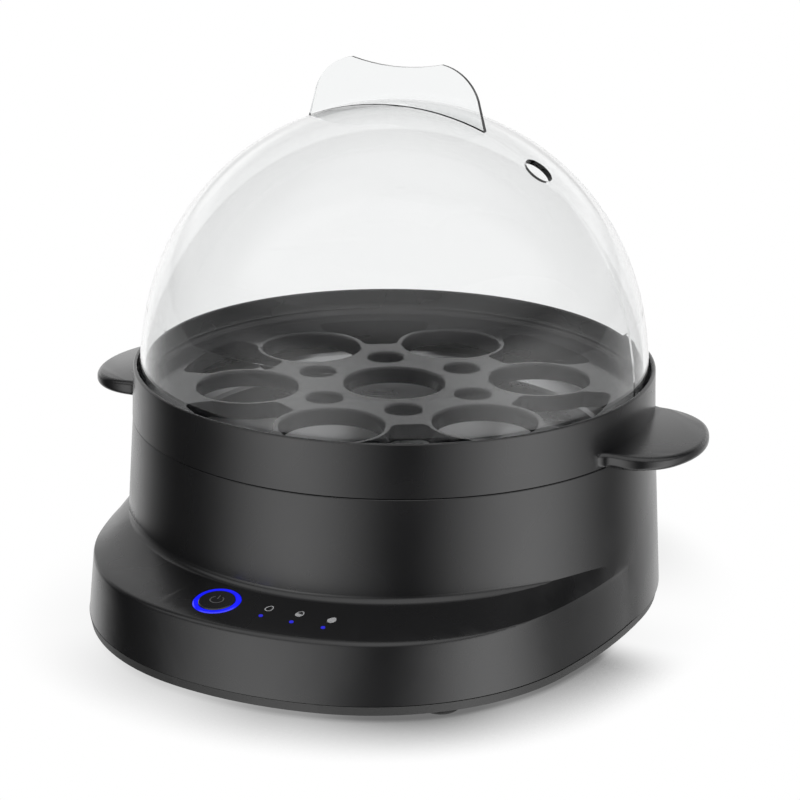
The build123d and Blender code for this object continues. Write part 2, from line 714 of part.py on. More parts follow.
def make_heating_pan():
    """Shallow pressed pan that boils the water, with three bosses under its floor."""
    pan = turned(
        [
            (0, PAN_FLOOR_BOTTOM),
            (PAN_FLOOR_RADIUS + PAN_WALL - PAN_BEND, PAN_FLOOR_BOTTOM),
            (PAN_FLOOR_RADIUS + PAN_WALL, PAN_FLOOR_BOTTOM + PAN_BEND),
            (PAN_MOUTH_RADIUS + PAN_WALL, PAN_FLANGE_BOTTOM),
            (PAN_FLANGE_RADIUS, PAN_FLANGE_BOTTOM),
            (PAN_FLANGE_RADIUS, PAN_FLANGE_TOP),
            (PAN_MOUTH_RADIUS + PAN_BEND, PAN_FLANGE_TOP),
            (PAN_MOUTH_RADIUS, PAN_FLANGE_TOP - PAN_BEND),
            (PAN_FLOOR_RADIUS, PAN_FLOOR_TOP + PAN_BEND),
            (PAN_FLOOR_RADIUS - PAN_BEND, PAN_FLOOR_TOP),
            (0, PAN_FLOOR_TOP),
        ]
    )
    for angle in clamp_angles():
        place = around(PAN_BOSS_PITCH_RADIUS, angle)[:2]
        pan += post(PAN_BOSS_RADIUS, PAN_BOSS_BOTTOM, PAN_FLOOR_BOTTOM + 0.5, place)
        pan -= post(SCREW_RADIUS + SCREW_GAP, 0, PAN_FLOOR_BOTTOM - 0.3, place)
    return pan


def make_pan_clamps():
    """Three joggled steel straps from the pan's bosses to the ledge."""
    inner = PAN_BOSS_PITCH_RADIUS - CLAMP_TAIL
    knee = PAN_BOSS_PITCH_RADIUS + PAN_BOSS_RADIUS + CLAMP_KNEE
    heel = LEDGE_INNER_RADIUS + CLAMP_HEEL
    outer = heel + CLAMP_TOE
    low = PAN_BOSS_BOTTOM
    high = LEDGE_BOTTOM
    corners = [
        (inner, low),
        (knee, low),
        (heel, high),
        (outer, high),
        (outer, high - CLAMP_THICKNESS),
        (heel + CLAMP_LEAN, high - CLAMP_THICKNESS),
        (knee + CLAMP_LEAN, low - CLAMP_THICKNESS),
        (inner, low - CLAMP_THICKNESS),
    ]
    profile = make_face(Polyline(*[(0, -r, z) for r, z in corners], close=True))
    strap = extrude(profile, CLAMP_WIDTH / 2, dir=(1, 0, 0), both=True)
    place = around(PAN_BOSS_PITCH_RADIUS, 0)[:2]
    strap -= post(SCREW_RADIUS + SCREW_GAP, low - 2 * CLAMP_THICKNESS, low + 1, place)
    straps = [Rot(0, 0, angle) * strap for angle in clamp_angles()]
    return Compound(straps)


def make_pan_screws():
    """Three screws through the clamps into the pan's bosses."""
    seat = PAN_BOSS_BOTTOM - CLAMP_THICKNESS
    screws = []
    for angle in clamp_angles():
        place = around(PAN_BOSS_PITCH_RADIUS, angle)[:2]
        screws.append(screw(place, seat, PAN_BOSS_LENGTH))
    return Compound(screws)


def make_diffuser_plate():
    """Aluminium plate that spreads the element's heat, with two rivet studs."""
    plate = post(DIFFUSER_RADIUS, DIFFUSER_BOTTOM, PAN_FLOOR_BOTTOM)
    end = THERMOSTAT_SEAT - BRACKET_THICKNESS - RIVET_PROUD
    for side in (-1, 1):
        place = (side * BRACKET_STUD_PITCH, 0)
        plate += post(STUD_RADIUS, THERMOSTAT_SEAT, DIFFUSER_BOTTOM + 0.5, place)
        plate += post(RIVET_RADIUS, end, THERMOSTAT_SEAT + 0.5, place)
    return plate


def make_heating_element():
    """C-shaped sheathed tube whose two cold ends turn down."""
    sweep = 360 - ELEMENT_OPENING
    ring = Pos(ELEMENT_RADIUS, 0, ELEMENT_LEVEL) * (Plane.XZ * Circle(ELEMENT_TUBE))
    tube = revolve(ring, Axis.Z, sweep)
    tube = Rot(0, 0, 90 + ELEMENT_OPENING / 2) * tube
    for side in (-1, 1):
        turn = 180 + side * ELEMENT_OPENING / 2
        end = Vector(*around(ELEMENT_RADIUS, turn, ELEMENT_LEVEL))
        radial = Vector(*around(1, turn))
        along = Vector(-radial.Y, radial.X, 0) * -side
        face = Plane(origin=end, x_dir=radial, z_dir=along) * Circle(ELEMENT_TUBE)
        hinge = Axis(end - Vector(0, 0, ELEMENT_BEND), radial * side)
        tube += revolve(face, hinge, 90)
        foot = end + along * ELEMENT_BEND - Vector(0, 0, ELEMENT_BEND)
        leg = post(ELEMENT_TUBE, foot.Z - ELEMENT_LEG, foot.Z, (foot.X, foot.Y))
        tube += leg
    return tube


def element_ends():
    """Plan places of the element's two lower ends and their height."""
    places = []
    for side in (-1, 1):
        turn = 180 + side * ELEMENT_OPENING / 2
        end = Vector(*around(ELEMENT_RADIUS, turn))
        radial = Vector(*around(1, turn))
        foot = end + Vector(-radial.Y, radial.X, 0) * -side * ELEMENT_BEND
        places.append((foot.X, foot.Y))
    return places, ELEMENT_LEVEL - ELEMENT_BEND - ELEMENT_LEG


def make_element_terminals():
    """Ceramic bead and blade at each end of the element."""
    places, level = element_ends()
    pieces = []
    for place in places:
        low = level - BEAD_LENGTH
        bead = post(BEAD_RADIUS, low, level, place)
        blade = block(BLADE_WIDTH, BLADE_THICKNESS, low - TERMINAL_BLADE, low, place)
        pieces.append(bead + blade)
    return Compound(pieces)


def make_thermostat():
    """Disc thermostat pressed to the plate: cap, body and two blades."""
    top = DIFFUSER_BOTTOM - ELEMENT_GAP
    low = THERMOSTAT_SEAT - THERMOSTAT_HEIGHT
    switch = post(THERMOSTAT_CAP_RADIUS, THERMOSTAT_SEAT, top)
    switch += post(THERMOSTAT_RADIUS, low, THERMOSTAT_SEAT)
    for side in (-1, 1):
        place = (side * THERMOSTAT_BLADE_PITCH / 2, 0)
        switch += block(BLADE_THICKNESS, BLADE_WIDTH, low - THERMOSTAT_BLADE, low + 0.5, place)
    return switch


def make_thermostat_bracket():
    """Flat bracket under the thermostat's cap, riveted to the plate's studs."""
    shape = SlotOverall(2 * BRACKET_HALF_LENGTH, BRACKET_WIDTH)
    shape += Circle(THERMOSTAT_RADIUS + BRACKET_RIM)
    shape -= Circle(THERMOSTAT_RADIUS + BRACKET_GAP)
    for side in (-1, 1):
        shape -= Pos(side * BRACKET_STUD_PITCH, 0) * Circle(RIVET_RADIUS + SCREW_GAP)
    plate = extrude(shape, BRACKET_THICKNESS)
    return Pos(0, 0, THERMOSTAT_SEAT - BRACKET_THICKNESS) * plate


def make_thermal_fuse():
    """Thermal fuse lying under the plate in a bridge clip."""
    across = Plane((0, -FUSE_FRONT, FUSE_LEVEL), x_dir=(0, 1, 0), z_dir=(1, 0, 0))
    fuse = across * Cylinder(FUSE_RADIUS, FUSE_LENGTH)
    fuse += across * Cylinder(FUSE_LEAD_RADIUS, FUSE_LENGTH + 2 * FUSE_LEAD)
    return fuse


def make_fuse_clip():
    """Bridge clip that holds the thermal fuse against the plate."""
    inner = FUSE_RADIUS + CLIP_GAP
    outer = inner + CLIP_THICKNESS
    band = Plane.YZ * (Circle(outer) - Circle(inner))
    clip = extrude(Pos(0, -FUSE_FRONT, FUSE_LEVEL) * band, CLIP_WIDTH / 2, both=True)
    clip -= block(2 * CLIP_WIDTH, 3 * outer, FUSE_LEVEL, DIFFUSER_BOTTOM + 1, (0, -FUSE_FRONT))
    for side in (-1, 1):
        wall = -FUSE_FRONT + side * (inner + outer) / 2
        clip += block(CLIP_WIDTH, CLIP_THICKNESS, FUSE_LEVEL - 0.01, DIFFUSER_BOTTOM, (0, wall))
        foot = -FUSE_FRONT + side * (inner + CLIP_FOOT / 2)
        low = DIFFUSER_BOTTOM - CLIP_THICKNESS
        clip += block(CLIP_WIDTH, CLIP_FOOT, low, DIFFUSER_BOTTOM, (0, foot))
    return clip


def make_control_board():
    """Circuit board under the panel, square to the button's travel."""
    length = CONTROL_LEFT + CONTROL_RIGHT
    width = CONTROL_FRONT + CONTROL_BACK
    middle = ((CONTROL_RIGHT - CONTROL_LEFT) / 2, (CONTROL_BACK - CONTROL_FRONT) / 2)
    board = block(length, width, BOARD_BOTTOM, BOARD_TOP, middle)
    for place in CONTROL_BOSSES:
        hole = SMALL_SCREW_RADIUS + SCREW_CLEARANCE
        board -= post(hole, BOARD_BOTTOM - 1, BOARD_TOP + 1, place)
    return CONTROL * board


def make_control_screws():
    """Three small screws that hold the control board to its bosses."""
    screws = []
    for place in CONTROL_BOSSES:
        length = SMALL_SCREW_LENGTH
        screws.append(screw(place, BOARD_BOTTOM, length, SMALL_SCREW_RADIUS, SMALL_HEAD_RADIUS))
    return CONTROL * Compound(screws)


def make_switch_body():
    """Tact switch on the board, bored for its plunger."""
    top = BOARD_TOP + SWITCH_HEIGHT
    body = block(SWITCH_SIDE, SWITCH_SIDE, BOARD_TOP, top)
    body -= post(PLUNGER_RADIUS + PLUNGER_GAP, BOARD_TOP + 1, top + 1)
    return CONTROL * body


def make_switch_plunger():
    """Plunger of the tact switch."""
    top = BOARD_TOP + SWITCH_HEIGHT
    return CONTROL * post(PLUNGER_RADIUS, BOARD_TOP + 2, top + PLUNGER_PROUD)


def make_power_button():
    """Round cap with a retaining flange and a stem that meets the plunger."""
    under = BUTTON_PROUD - BUTTON_THICKNESS
    flange_top = -LIGHT_RING_STOP - LIGHT_GAP
    flange_radius = LIGHT_RING_RADIUS - LIGHT_TUBE_WALL - BUTTON_GAP
    cap = post(BUTTON_RADIUS, flange_top - BUTTON_FLANGE, BUTTON_PROUD)
    rim = cap.edges().filter_by(GeomType.CIRCLE).sort_by(Axis.Z)[-1]
    cap = fillet(rim, BUTTON_EDGE_ROUND)
    cap += post(flange_radius, flange_top - BUTTON_FLANGE, flange_top)
    cap -= post(BUTTON_RADIUS - BUTTON_WALL, flange_top - BUTTON_FLANGE - 1, under)
    stem_end = BOARD_TOP + SWITCH_HEIGHT + PLUNGER_PROUD
    cap += post(STEM_RADIUS, stem_end, under + 0.3)
    return CONTROL * cap


def make_button_light_ring():
    """Translucent ring round the button, a tube that leads light up from the board."""
    outer = LIGHT_RING_RADIUS
    inner = BUTTON_RADIUS + BUTTON_GAP
    tube_inner = outer - LIGHT_TUBE_WALL
    end = BOARD_TOP + LED_HEIGHT + LIGHT_GAP
    ring = turned(
        [
            (inner, LIGHT_RING_PROUD),
            (outer - LIGHT_RING_BEVEL, LIGHT_RING_PROUD),
            (outer, LIGHT_RING_PROUD - LIGHT_RING_BEVEL),
            (outer, end),
            (tube_inner, end),
            (tube_inner, -LIGHT_RING_STOP),
            (inner, -LIGHT_RING_STOP),
        ]
    )
    seat = PANEL_UNDER - PANEL_SEAT_GAP
    reach = outer + LIGHT_TAB_REACH
    tabs = post(reach, seat - LIGHT_TAB_THICKNESS, seat)
    tabs -= post(outer - LIGHT_TUBE_WALL / 2, end, 0)
    tabs &= block(3 * reach, LIGHT_TAB_WIDTH, end, 0)
    return CONTROL * (ring + tabs)


def make_ring_leds():
    """Six small lights on the board under the ring."""
    place = (LIGHT_RING_RADIUS - LIGHT_TUBE_WALL / 2, 0)
    top = BOARD_TOP + LED_HEIGHT
    lights = []
    for number in range(RING_LEDS):
        light = block(RING_LED_WIDTH, RING_LED_LENGTH, BOARD_TOP, top, place)
        lights.append(CONTROL * (Rot(0, 0, number * 360 / RING_LEDS) * light))
    return Compound(lights)


def make_indicator_lenses():
    """Three light pipes that show as dots on the panel."""
    lenses = []
    for x, y, height in lens_places():
        seat = height + PANEL_UNDER - LENS_SEAT_GAP
        lens = post(LENS_RADIUS, BOARD_TOP + LED_HEIGHT + LIGHT_GAP, height + LENS_PROUD, (x, y))
        lens += post(LENS_FLANGE_RADIUS, seat - LENS_FLANGE_THICKNESS, seat, (x, y))
        lenses.append(CONTROL * lens)
    return Compound(lenses)


def make_indicator_leds():
    """Three lights on the board, one under each light pipe."""
    lights = []
    for x, y, _ in lens_places():
        top = BOARD_TOP + LED_HEIGHT
        light = block(RING_LED_LENGTH, RING_LED_WIDTH, BOARD_TOP, top, (x, y))
        lights.append(CONTROL * light)
    return Compound(lights)


def make_buzzer():
    """Buzzer on the control board."""
    place = (CONTROL_RIGHT - BUZZER_INSET_X, CONTROL_BACK - BUZZER_RADIUS - BUZZER_INSET_Y)
    body = post(BUZZER_RADIUS, BOARD_TOP, BOARD_TOP + BUZZER_HEIGHT, place)
    body -= post(1.0, BOARD_TOP + BUZZER_HEIGHT - 1, BOARD_TOP + BUZZER_HEIGHT + 1, place)
    return CONTROL * body


def make_power_board():
    """Circuit board that switches the element, on the cover's standoffs."""
    bottom = power_board_bottom()
    board = block(POWER_LENGTH, POWER_WIDTH, bottom, bottom + BOARD_THICKNESS, (0, POWER_BACK))
    for place in power_board_corners():
        hole = SMALL_SCREW_RADIUS + SCREW_CLEARANCE
        board -= post(hole, bottom - 1, bottom + BOARD_THICKNESS + 1, place)
    return board


def make_board_screws():
    """Four small screws that hold the power board to the cover."""
    top = power_board_bottom() + BOARD_THICKNESS
    screws = []
    for place in power_board_corners():
        body = post(SMALL_SCREW_RADIUS, top - SMALL_SCREW_LENGTH, top, place)
        body += post(SMALL_HEAD_RADIUS, top, top + SMALL_HEAD_HEIGHT, place)
        screws.append(body)
    return Compound(screws)


def make_relay():
    """Relay on the power board."""
    top = power_board_bottom() + BOARD_THICKNESS
    place = (RELAY_PLACE[0], POWER_BACK + RELAY_PLACE[1])
    body = block(RELAY_LENGTH, RELAY_WIDTH, top, top + RELAY_HEIGHT, place)
    return chamfer(body.edges().group_by(Axis.Z)[-1], COMPONENT_CHAMFER)


def make_filter_capacitor():
    """Film capacitor on the power board."""
    top = power_board_bottom() + BOARD_THICKNESS
    place = (CAPACITOR_PLACE[0], POWER_BACK + CAPACITOR_PLACE[1])
    body = block(CAPACITOR_LENGTH, CAPACITOR_WIDTH, top, top + CAPACITOR_HEIGHT, place)
    return chamfer(body.edges().group_by(Axis.Z)[-1], COMPONENT_CHAMFER)


def make_terminal_block():
    """Three-way screw terminal for the supply and the element's leads."""
    top = power_board_bottom() + BOARD_THICKNESS
    end = top + TERMINAL_HEIGHT
    place = (TERMINAL_PLACE[0], POWER_BACK + TERMINAL_PLACE[1])
    body = block(TERMINAL_WAYS * TERMINAL_PITCH + 1, TERMINAL_WIDTH, top, end, place)
    for number in range(TERMINAL_WAYS):
        across = place[0] + (number - (TERMINAL_WAYS - 1) / 2) * TERMINAL_PITCH
        body -= post(TERMINAL_PITCH * 0.3, end - TERMINAL_HEIGHT * 0.3, end + 1, (across, place[1]))
        mouth = (across, place[1] + TERMINAL_WIDTH / 2)
        low = top + TERMINAL_HEIGHT * 0.15
        high = top + TERMINAL_HEIGHT * 0.5
        body -= block(TERMINAL_PITCH * 0.7, TERMINAL_WIDTH * 0.6, low, high, mouth)
    return body


def make_cord_gland():
    """Rubber gland in the back wall, bored for the supply lead."""
    wall = GLAND_FACE - gland_start()
    gland = post(GLAND_FLANGE_RADIUS, wall, wall + GLAND_FLANGE)
    rim = gland.edges().filter_by(GeomType.CIRCLE).sort_by(Axis.Z)[-1]
    gland = fillet(rim, GLAND_EDGE_ROUND)
    gland += post(GLAND_NECK, 0, wall)
    gland += post(GLAND_FLANGE_RADIUS, -GLAND_FLANGE, 0)
    gland -= post(GLAND_BORE, -GLAND_FLANGE - 1, wall + GLAND_FLANGE + 1)
    start = GLAND_FACE - wall
    return Plane((0, start, GLAND_LEVEL), x_dir=(1, 0, 0), z_dir=(0, 1, 0)) * gland


def ear_outline(side):
    """Ear in plan: straight flanks, two round corners and a flat tip arc, all tangent."""
    tip_centre = EAR_REACH - EAR_TIP_RADIUS
    drop = EAR_HALF_WIDTH - EAR_CORNER_RADIUS
    along = math.sqrt((EAR_TIP_RADIUS - EAR_CORNER_RADIUS) ** 2 - drop ** 2)
    corner = tip_centre + along
    share = 2 * EAR_TIP_RADIUS / math.hypot(along, drop)
    sector = Polygon(
        (tip_centre, 0),
        (tip_centre + along * share, -drop * share),
        (tip_centre + along * share, drop * share),
        align=None,
    )
    ear = sector & (Pos(tip_centre, 0) * Circle(EAR_TIP_RADIUS))
    for y in (-drop, drop):
        ear += Pos(corner, y) * Circle(EAR_CORNER_RADIUS)
    run = corner - RING_INNER_RADIUS / 2
    ear += Pos(corner - run / 2, 0) * Rectangle(run, 2 * EAR_HALF_WIDTH)
    return ear if side > 0 else Rot(0, 0, 180) * ear


def ring_section():
    """Turned body of the tray ring: wall, inner shelf and locating skirt."""
    shelf = RACK_BOTTOM - SHELF_THICKNESS
    ring = turned(
        [
            (RING_INNER_RADIUS, RING_BOTTOM),
            (RING_RADIUS, RING_BOTTOM),
            (RING_RADIUS - RING_DRAFT, TRAY_RIM),
            (RING_INNER_RADIUS, TRAY_RIM),
            (RING_INNER_RADIUS, RACK_BOTTOM),
            (SHELF_INNER_RADIUS, RACK_BOTTOM),
            (SHELF_INNER_RADIUS, shelf),
            (SKIRT_INNER_RADIUS, shelf),
            (SKIRT_INNER_RADIUS, RING_BOTTOM - SKIRT_DEPTH),
            (SKIRT_OUTER_RADIUS, RING_BOTTOM - SKIRT_DEPTH),
            (SKIRT_OUTER_RADIUS, shelf),
            (RING_INNER_RADIUS, shelf),
        ]
    )
    rims = ring.edges().filter_by(GeomType.CIRCLE).group_by(Axis.Z)[-1]
    return fillet(rims, RING_RIM_ROUND)


def make_tray_ring():
    """Ring with two ears that thin towards their tips and have rounded edges."""
    root_circle = RING_RADIUS - EAR_SINK
    plan = Circle(root_circle) + ear_outline(1) + ear_outline(-1)
    roots = []
    for vertex in plan.vertices():
        if abs(math.hypot(vertex.X, vertex.Y) - root_circle) < 0.01 and abs(vertex.Y) > 1:
            roots.append(vertex)
    plan = fillet(roots, EAR_ROOT_ROUND)
    ears = extrude(plan - Circle(RING_INNER_RADIUS + EAR_SINK), EAR_ROOT_THICKNESS)
    rise = EAR_ROOT_THICKNESS - EAR_TIP_THICKNESS
    slope = math.degrees(math.atan2(rise, EAR_LENGTH))
    for side in (-1, 1):
        size = 4 * EAR_LENGTH
        cutter = Box(size, 2 * size, size, align=(Align.MIN, Align.CENTER, Align.MIN))
        cutter = Rot(0, slope, 0) * cutter
        if side < 0:
            cutter = Rot(0, 0, 180) * cutter
        ears -= Pos(side * RING_RADIUS, 0, EAR_ROOT_THICKNESS) * cutter
    edges = []
    for edge in ears.edges():
        middle = edge.position_at(0.5)
        flat = edge.bounding_box().size.Z < rise + 0.1
        outside = math.hypot(middle.X, middle.Y) > RING_RADIUS + EAR_ROOT_ROUND + 1
        if flat and outside:
            edges.append(edge)
    ears = fillet(edges, EAR_EDGE_ROUND)
    return ring_section() + Pos(0, 0, RING_BOTTOM) * ears


def hole_cutter(radius, taper):
    """Cutter for a round hole: tapered collar with a rounded lip at the deck."""
    low = COLLAR_BOTTOM
    edge = DECK_TOP - LIP_ROUND
    profile = [
        Line((0, 0, low - OVERRUN), (radius - taper, 0, low - OVERRUN)),
        Line((radius - taper, 0, low - OVERRUN), (radius - taper, 0, low)),
        Line((radius - taper, 0, low), (radius, 0, edge)),
        Line((radius, 0, edge), (radius + 0.3 * LIP_ROUND, 0, DECK_TOP - 0.3 * LIP_ROUND)),
        Line(
            (radius + 0.3 * LIP_ROUND, 0, DECK_TOP - 0.3 * LIP_ROUND),
            (radius + LIP_ROUND, 0, DECK_TOP),
        ),
        Line((radius + LIP_ROUND, 0, DECK_TOP), (radius + LIP_ROUND, 0, DECK_TOP + OVERRUN)),
        Line((radius + LIP_ROUND, 0, DECK_TOP + OVERRUN), (0, 0, DECK_TOP + OVERRUN)),
        Line((0, 0, DECK_TOP + OVERRUN), (0, 0, low - OVERRUN)),
    ]
    return revolve(make_face(profile), Axis.Z)


def bell_outline():
    """Bell-shaped steam opening between two eggs, centred on the front direction."""
    wedge = Polygon(
        (0, 0),
        around(2 * RACK_RADIUS, -BELL_HALF_ANGLE)[:2],
        around(2 * RACK_RADIUS, BELL_HALF_ANGLE)[:2],
        align=None,
    )
    inner = EGG_PITCH_RADIUS - BELL_INWARD
    bell = (Circle(BELL_OUTER_RADIUS) - Circle(inner)) & wedge
    half = 180 / OUTER_EGGS
    for side in (-half, half):
        x, y, _ = around(EGG_PITCH_RADIUS, side)
        bell -= Pos(x, y) * Circle(EGG_HOLE_RADIUS + BELL_EGG_WEB)
    return fillet(bell.vertices(), BELL_ROUND)


def make_egg_rack():
    """Moulded rack: seven egg holes, six round and six bell-shaped steam openings."""
    rack = turned(
        [
            (0, RACK_BOTTOM),
            (RACK_RADIUS, RACK_BOTTOM),
            (RACK_RADIUS, DECK_TOP + RACK_STEP_HEIGHT),
            (RACK_STEP_INNER_RADIUS, DECK_TOP + RACK_STEP_HEIGHT),
            (RACK_STEP_INNER_RADIUS - RACK_STEP_BEVEL, DECK_TOP),
            (0, DECK_TOP),
        ]
    )
    low = COLLAR_BOTTOM
    pitch = 360 / OUTER_EGGS
    egg_places = [(0.0, 0.0)]
    steam_places = []
    for number in range(OUTER_EGGS):
        egg_places.append(around(EGG_PITCH_RADIUS, number * pitch)[:2])
        steam_places.append(around(STEAM_PITCH_RADIUS, (number + 0.5) * pitch)[:2])
    for place in egg_places:
        rack += post(EGG_HOLE_RADIUS + COLLAR_WALL, low, RACK_BOTTOM + BITE, place)
    for place in steam_places:
        rack += post(STEAM_HOLE_RADIUS + COLLAR_WALL, low, RACK_BOTTOM + BITE, place)
    bell = bell_outline()
    collar = extrude(offset(bell, COLLAR_WALL), COLLAR_DEPTH - RACK_THICKNESS + BITE)
    opening = extrude(bell, COLLAR_DEPTH + 2 * OVERRUN)
    for number in range(OUTER_EGGS):
        turn = Rot(0, 0, (number + 0.5) * pitch)
        rack += Pos(0, 0, low) * (turn * collar)
    for number in range(OUTER_EGGS):
        turn = Rot(0, 0, (number + 0.5) * pitch)
        rack -= Pos(0, 0, low - OVERRUN) * (turn * opening)
    for place in egg_places:
        rack -= Pos(place[0], place[1], 0) * hole_cutter(EGG_HOLE_RADIUS, EGG_HOLE_TAPER)
    for place in steam_places:
        rack -= Pos(place[0], place[1], 0) * hole_cutter(STEAM_HOLE_RADIUS, STEAM_HOLE_TAPER)
    return rack


def dome_crown():
    """Radius and centre height of the crown arc, tangent to the side arc."""
    offset_in = DOME_SIDE_RADIUS - DOME_RADIUS
    short = DOME_SIDE_RADIUS - DOME_RISE
    centre = (offset_in ** 2 - short ** 2) / (2 * short)
    return DOME_RISE - centre, centre


def dome_solid(inset):
    """Solid of the dome, drawn in by an inset: side arc, crown arc and a straight band."""
    crown, centre = dome_crown()
    offset_in = DOME_SIDE_RADIUS - DOME_RADIUS
    turn = math.atan2(centre, offset_in)
    side = DOME_SIDE_RADIUS - inset
    crown -= inset

    def on_side(angle):
        return (side * math.cos(angle) - offset_in, 0, DOME_LEVEL + side * math.sin(angle))

    def on_crown(angle):
        return (crown * math.cos(angle), 0, DOME_LEVEL + centre + crown * math.sin(angle))

    apex = on_crown(math.pi / 2)
    apex = (0, 0, apex[2])
    edges = [
        Line((0, 0, LID_BOTTOM), (DOME_RADIUS - inset, 0, LID_BOTTOM)),
        Line((DOME_RADIUS - inset, 0, LID_BOTTOM), (DOME_RADIUS - inset, 0, DOME_LEVEL)),
        ThreePointArc(on_side(0), on_side(turn / 2), on_side(turn)),
        ThreePointArc(on_side(turn), on_crown((turn + math.pi / 2) / 2), apex),
        Line(apex, (0, 0, LID_BOTTOM)),
    ]
    return revolve(make_face(edges), Axis.Z)


def vent_plane():
    """Plane on the dome's outside at the steam vent, square to the wall."""
    crown, centre = dome_crown()
    turn = math.acos(VENT_PLAN_RADIUS / crown)
    height = DOME_LEVEL + centre + crown * math.sin(turn)
    sideways = around(math.cos(turn), VENT_ANGLE)
    direction = (sideways[0], sideways[1], math.sin(turn))
    return Plane(around(VENT_PLAN_RADIUS, VENT_ANGLE, height), z_dir=direction)


def make_lid_dome():
    """Clear moulded lid: dome shell, fin-shaped grip on top and a steam vent."""
    lid = dome_solid(0) - dome_solid(DOME_WALL)
    lid += make_fin() - dome_solid(DOME_WALL / 2)
    lid -= vent_plane() * post(VENT_RADIUS, -4 * DOME_WALL, 4 * DOME_WALL)
    return lid


def make_fin():
    """Grip outline across the top, thinner towards its upper edge."""
    root = DOME_LEVEL + DOME_RISE - FIN_ROOT_DEPTH
    slope_x = FIN_HALF_LENGTH - FIN_SLOPE_IN
    slope_z = FIN_TOP - FIN_SLOPE_DROP
    bend_x = FIN_SHOULDER + FIN_BEND_OUT
    bend_z = FIN_TOP - FIN_BEND_DROP
    shoulder = (FIN_SHOULDER, 0, FIN_TOP)
    other = (-FIN_SHOULDER, 0, FIN_TOP)
    outline_edges = [
        Line((-FIN_HALF_LENGTH, 0, root), (FIN_HALF_LENGTH, 0, root)),
        Line((FIN_HALF_LENGTH, 0, root), (slope_x, 0, slope_z)),
        ThreePointArc((slope_x, 0, slope_z), (bend_x, 0, bend_z), shoulder),
        ThreePointArc(shoulder, (0, 0, FIN_TOP - FIN_DIP), other),
        ThreePointArc(other, (-bend_x, 0, bend_z), (-slope_x, 0, slope_z)),
        Line((-slope_x, 0, slope_z), (-FIN_HALF_LENGTH, 0, root)),
    ]
    blade = extrude(make_face(outline_edges), FIN_ROOT_THICKNESS, dir=(0, 1, 0), both=True)
    wedge = Polyline(
        (0, -FIN_ROOT_THICKNESS / 2, root),
        (0, FIN_ROOT_THICKNESS / 2, root),
        (0, FIN_TIP_THICKNESS / 2, FIN_TOP + 1),
        (0, -FIN_TIP_THICKNESS / 2, FIN_TOP + 1),
        close=True,
    )
    taper = extrude(make_face(wedge), 2 * FIN_HALF_LENGTH, dir=(1, 0, 0), both=True)
    return blade & taper


PARTS = {
    "base_housing": make_base_housing,
    "bottom_cover": make_bottom_cover,
    "rubber_feet": make_rubber_feet,
    "cover_screws": make_cover_screws,
    "pan_gasket": make_pan_gasket,
    "heating_pan": make_heating_pan,
    "pan_clamps": make_pan_clamps,
    "pan_screws": make_pan_screws,
    "diffuser_plate": make_diffuser_plate,
    "heating_element": make_heating_element,
    "element_terminals": make_element_terminals,
    "thermostat": make_thermostat,
    "thermostat_bracket": make_thermostat_bracket,
    "thermal_fuse": make_thermal_fuse,
    "fuse_clip": make_fuse_clip,
    "control_board": make_control_board,
    "control_screws": make_control_screws,
    "switch_body": make_switch_body,
    "switch_plunger": make_switch_plunger,
    "power_button": make_power_button,
    "button_light_ring": make_button_light_ring,
    "ring_leds": make_ring_leds,
    "indicator_lenses": make_indicator_lenses,
    "indicator_leds": make_indicator_leds,
    "buzzer": make_buzzer,
    "power_board": make_power_board,
    "board_screws": make_board_screws,
    "relay": make_relay,
    "filter_capacitor": make_filter_capacitor,
    "terminal_block": make_terminal_block,
    "cord_gland": make_cord_gland,
    "tray_ring": make_tray_ring,
    "egg_rack": make_egg_rack,
    "lid_dome": make_lid_dome,
}

os.makedirs("parts", exist_ok=True)
for name, make in PARTS.items():
    shape = Pos(0, AXIS_Y, 0) * make()
    export_step(shape, "parts/" + name + ".step")
    print(name, round(shape.volume, 1), flush=True)
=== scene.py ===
import bpy
import bmesh
import json
import math
from mathutils import Matrix, Vector
from mathutils.bvhtree import BVHTree


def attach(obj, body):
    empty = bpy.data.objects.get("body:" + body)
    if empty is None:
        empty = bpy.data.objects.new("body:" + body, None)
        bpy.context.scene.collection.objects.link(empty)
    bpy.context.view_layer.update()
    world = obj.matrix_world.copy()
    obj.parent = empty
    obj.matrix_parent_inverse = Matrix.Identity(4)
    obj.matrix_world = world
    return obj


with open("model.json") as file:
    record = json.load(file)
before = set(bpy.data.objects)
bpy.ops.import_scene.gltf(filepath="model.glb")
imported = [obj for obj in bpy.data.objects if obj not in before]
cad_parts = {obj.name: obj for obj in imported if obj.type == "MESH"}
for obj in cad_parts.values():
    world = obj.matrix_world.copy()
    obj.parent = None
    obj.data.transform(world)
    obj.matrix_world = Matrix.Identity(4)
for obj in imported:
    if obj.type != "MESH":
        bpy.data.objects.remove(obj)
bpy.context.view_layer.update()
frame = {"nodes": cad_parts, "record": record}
nodes = frame["nodes"]
scene = bpy.context.scene
scene.view_settings.view_transform = "Standard"

# All lengths in metres, all angles in degrees from the front (-Y) towards +X

# Camera at the photograph's viewing angle
CAMERA_LENS = 121.9206
CAMERA_SENSOR = 36.0
CAMERA_NEAR = 0.05
CAMERA_FAR = 20.0
CAMERA_PLACE = (0.381526, -0.855422, 0.384453)
CAMERA_TURN = (
    (0.9151823, -0.1343604, 0.3799852),
    (0.4029331, 0.2832735, -0.8702879),
    (0.0092925, 0.9495807, 0.3133851),
)

# The axis of drum, ring and lid
AXIS_Y = 0.013009

# The lid's crown; its solid grip stands outside it, above a height
CROWN_CENTRE = 0.089545
CROWN_RADIUS = 0.092355
CROWN_SKIN = (0.0002, 0.0006)
GRIP_LOW = 0.150
GRIP_FADE = 0.004

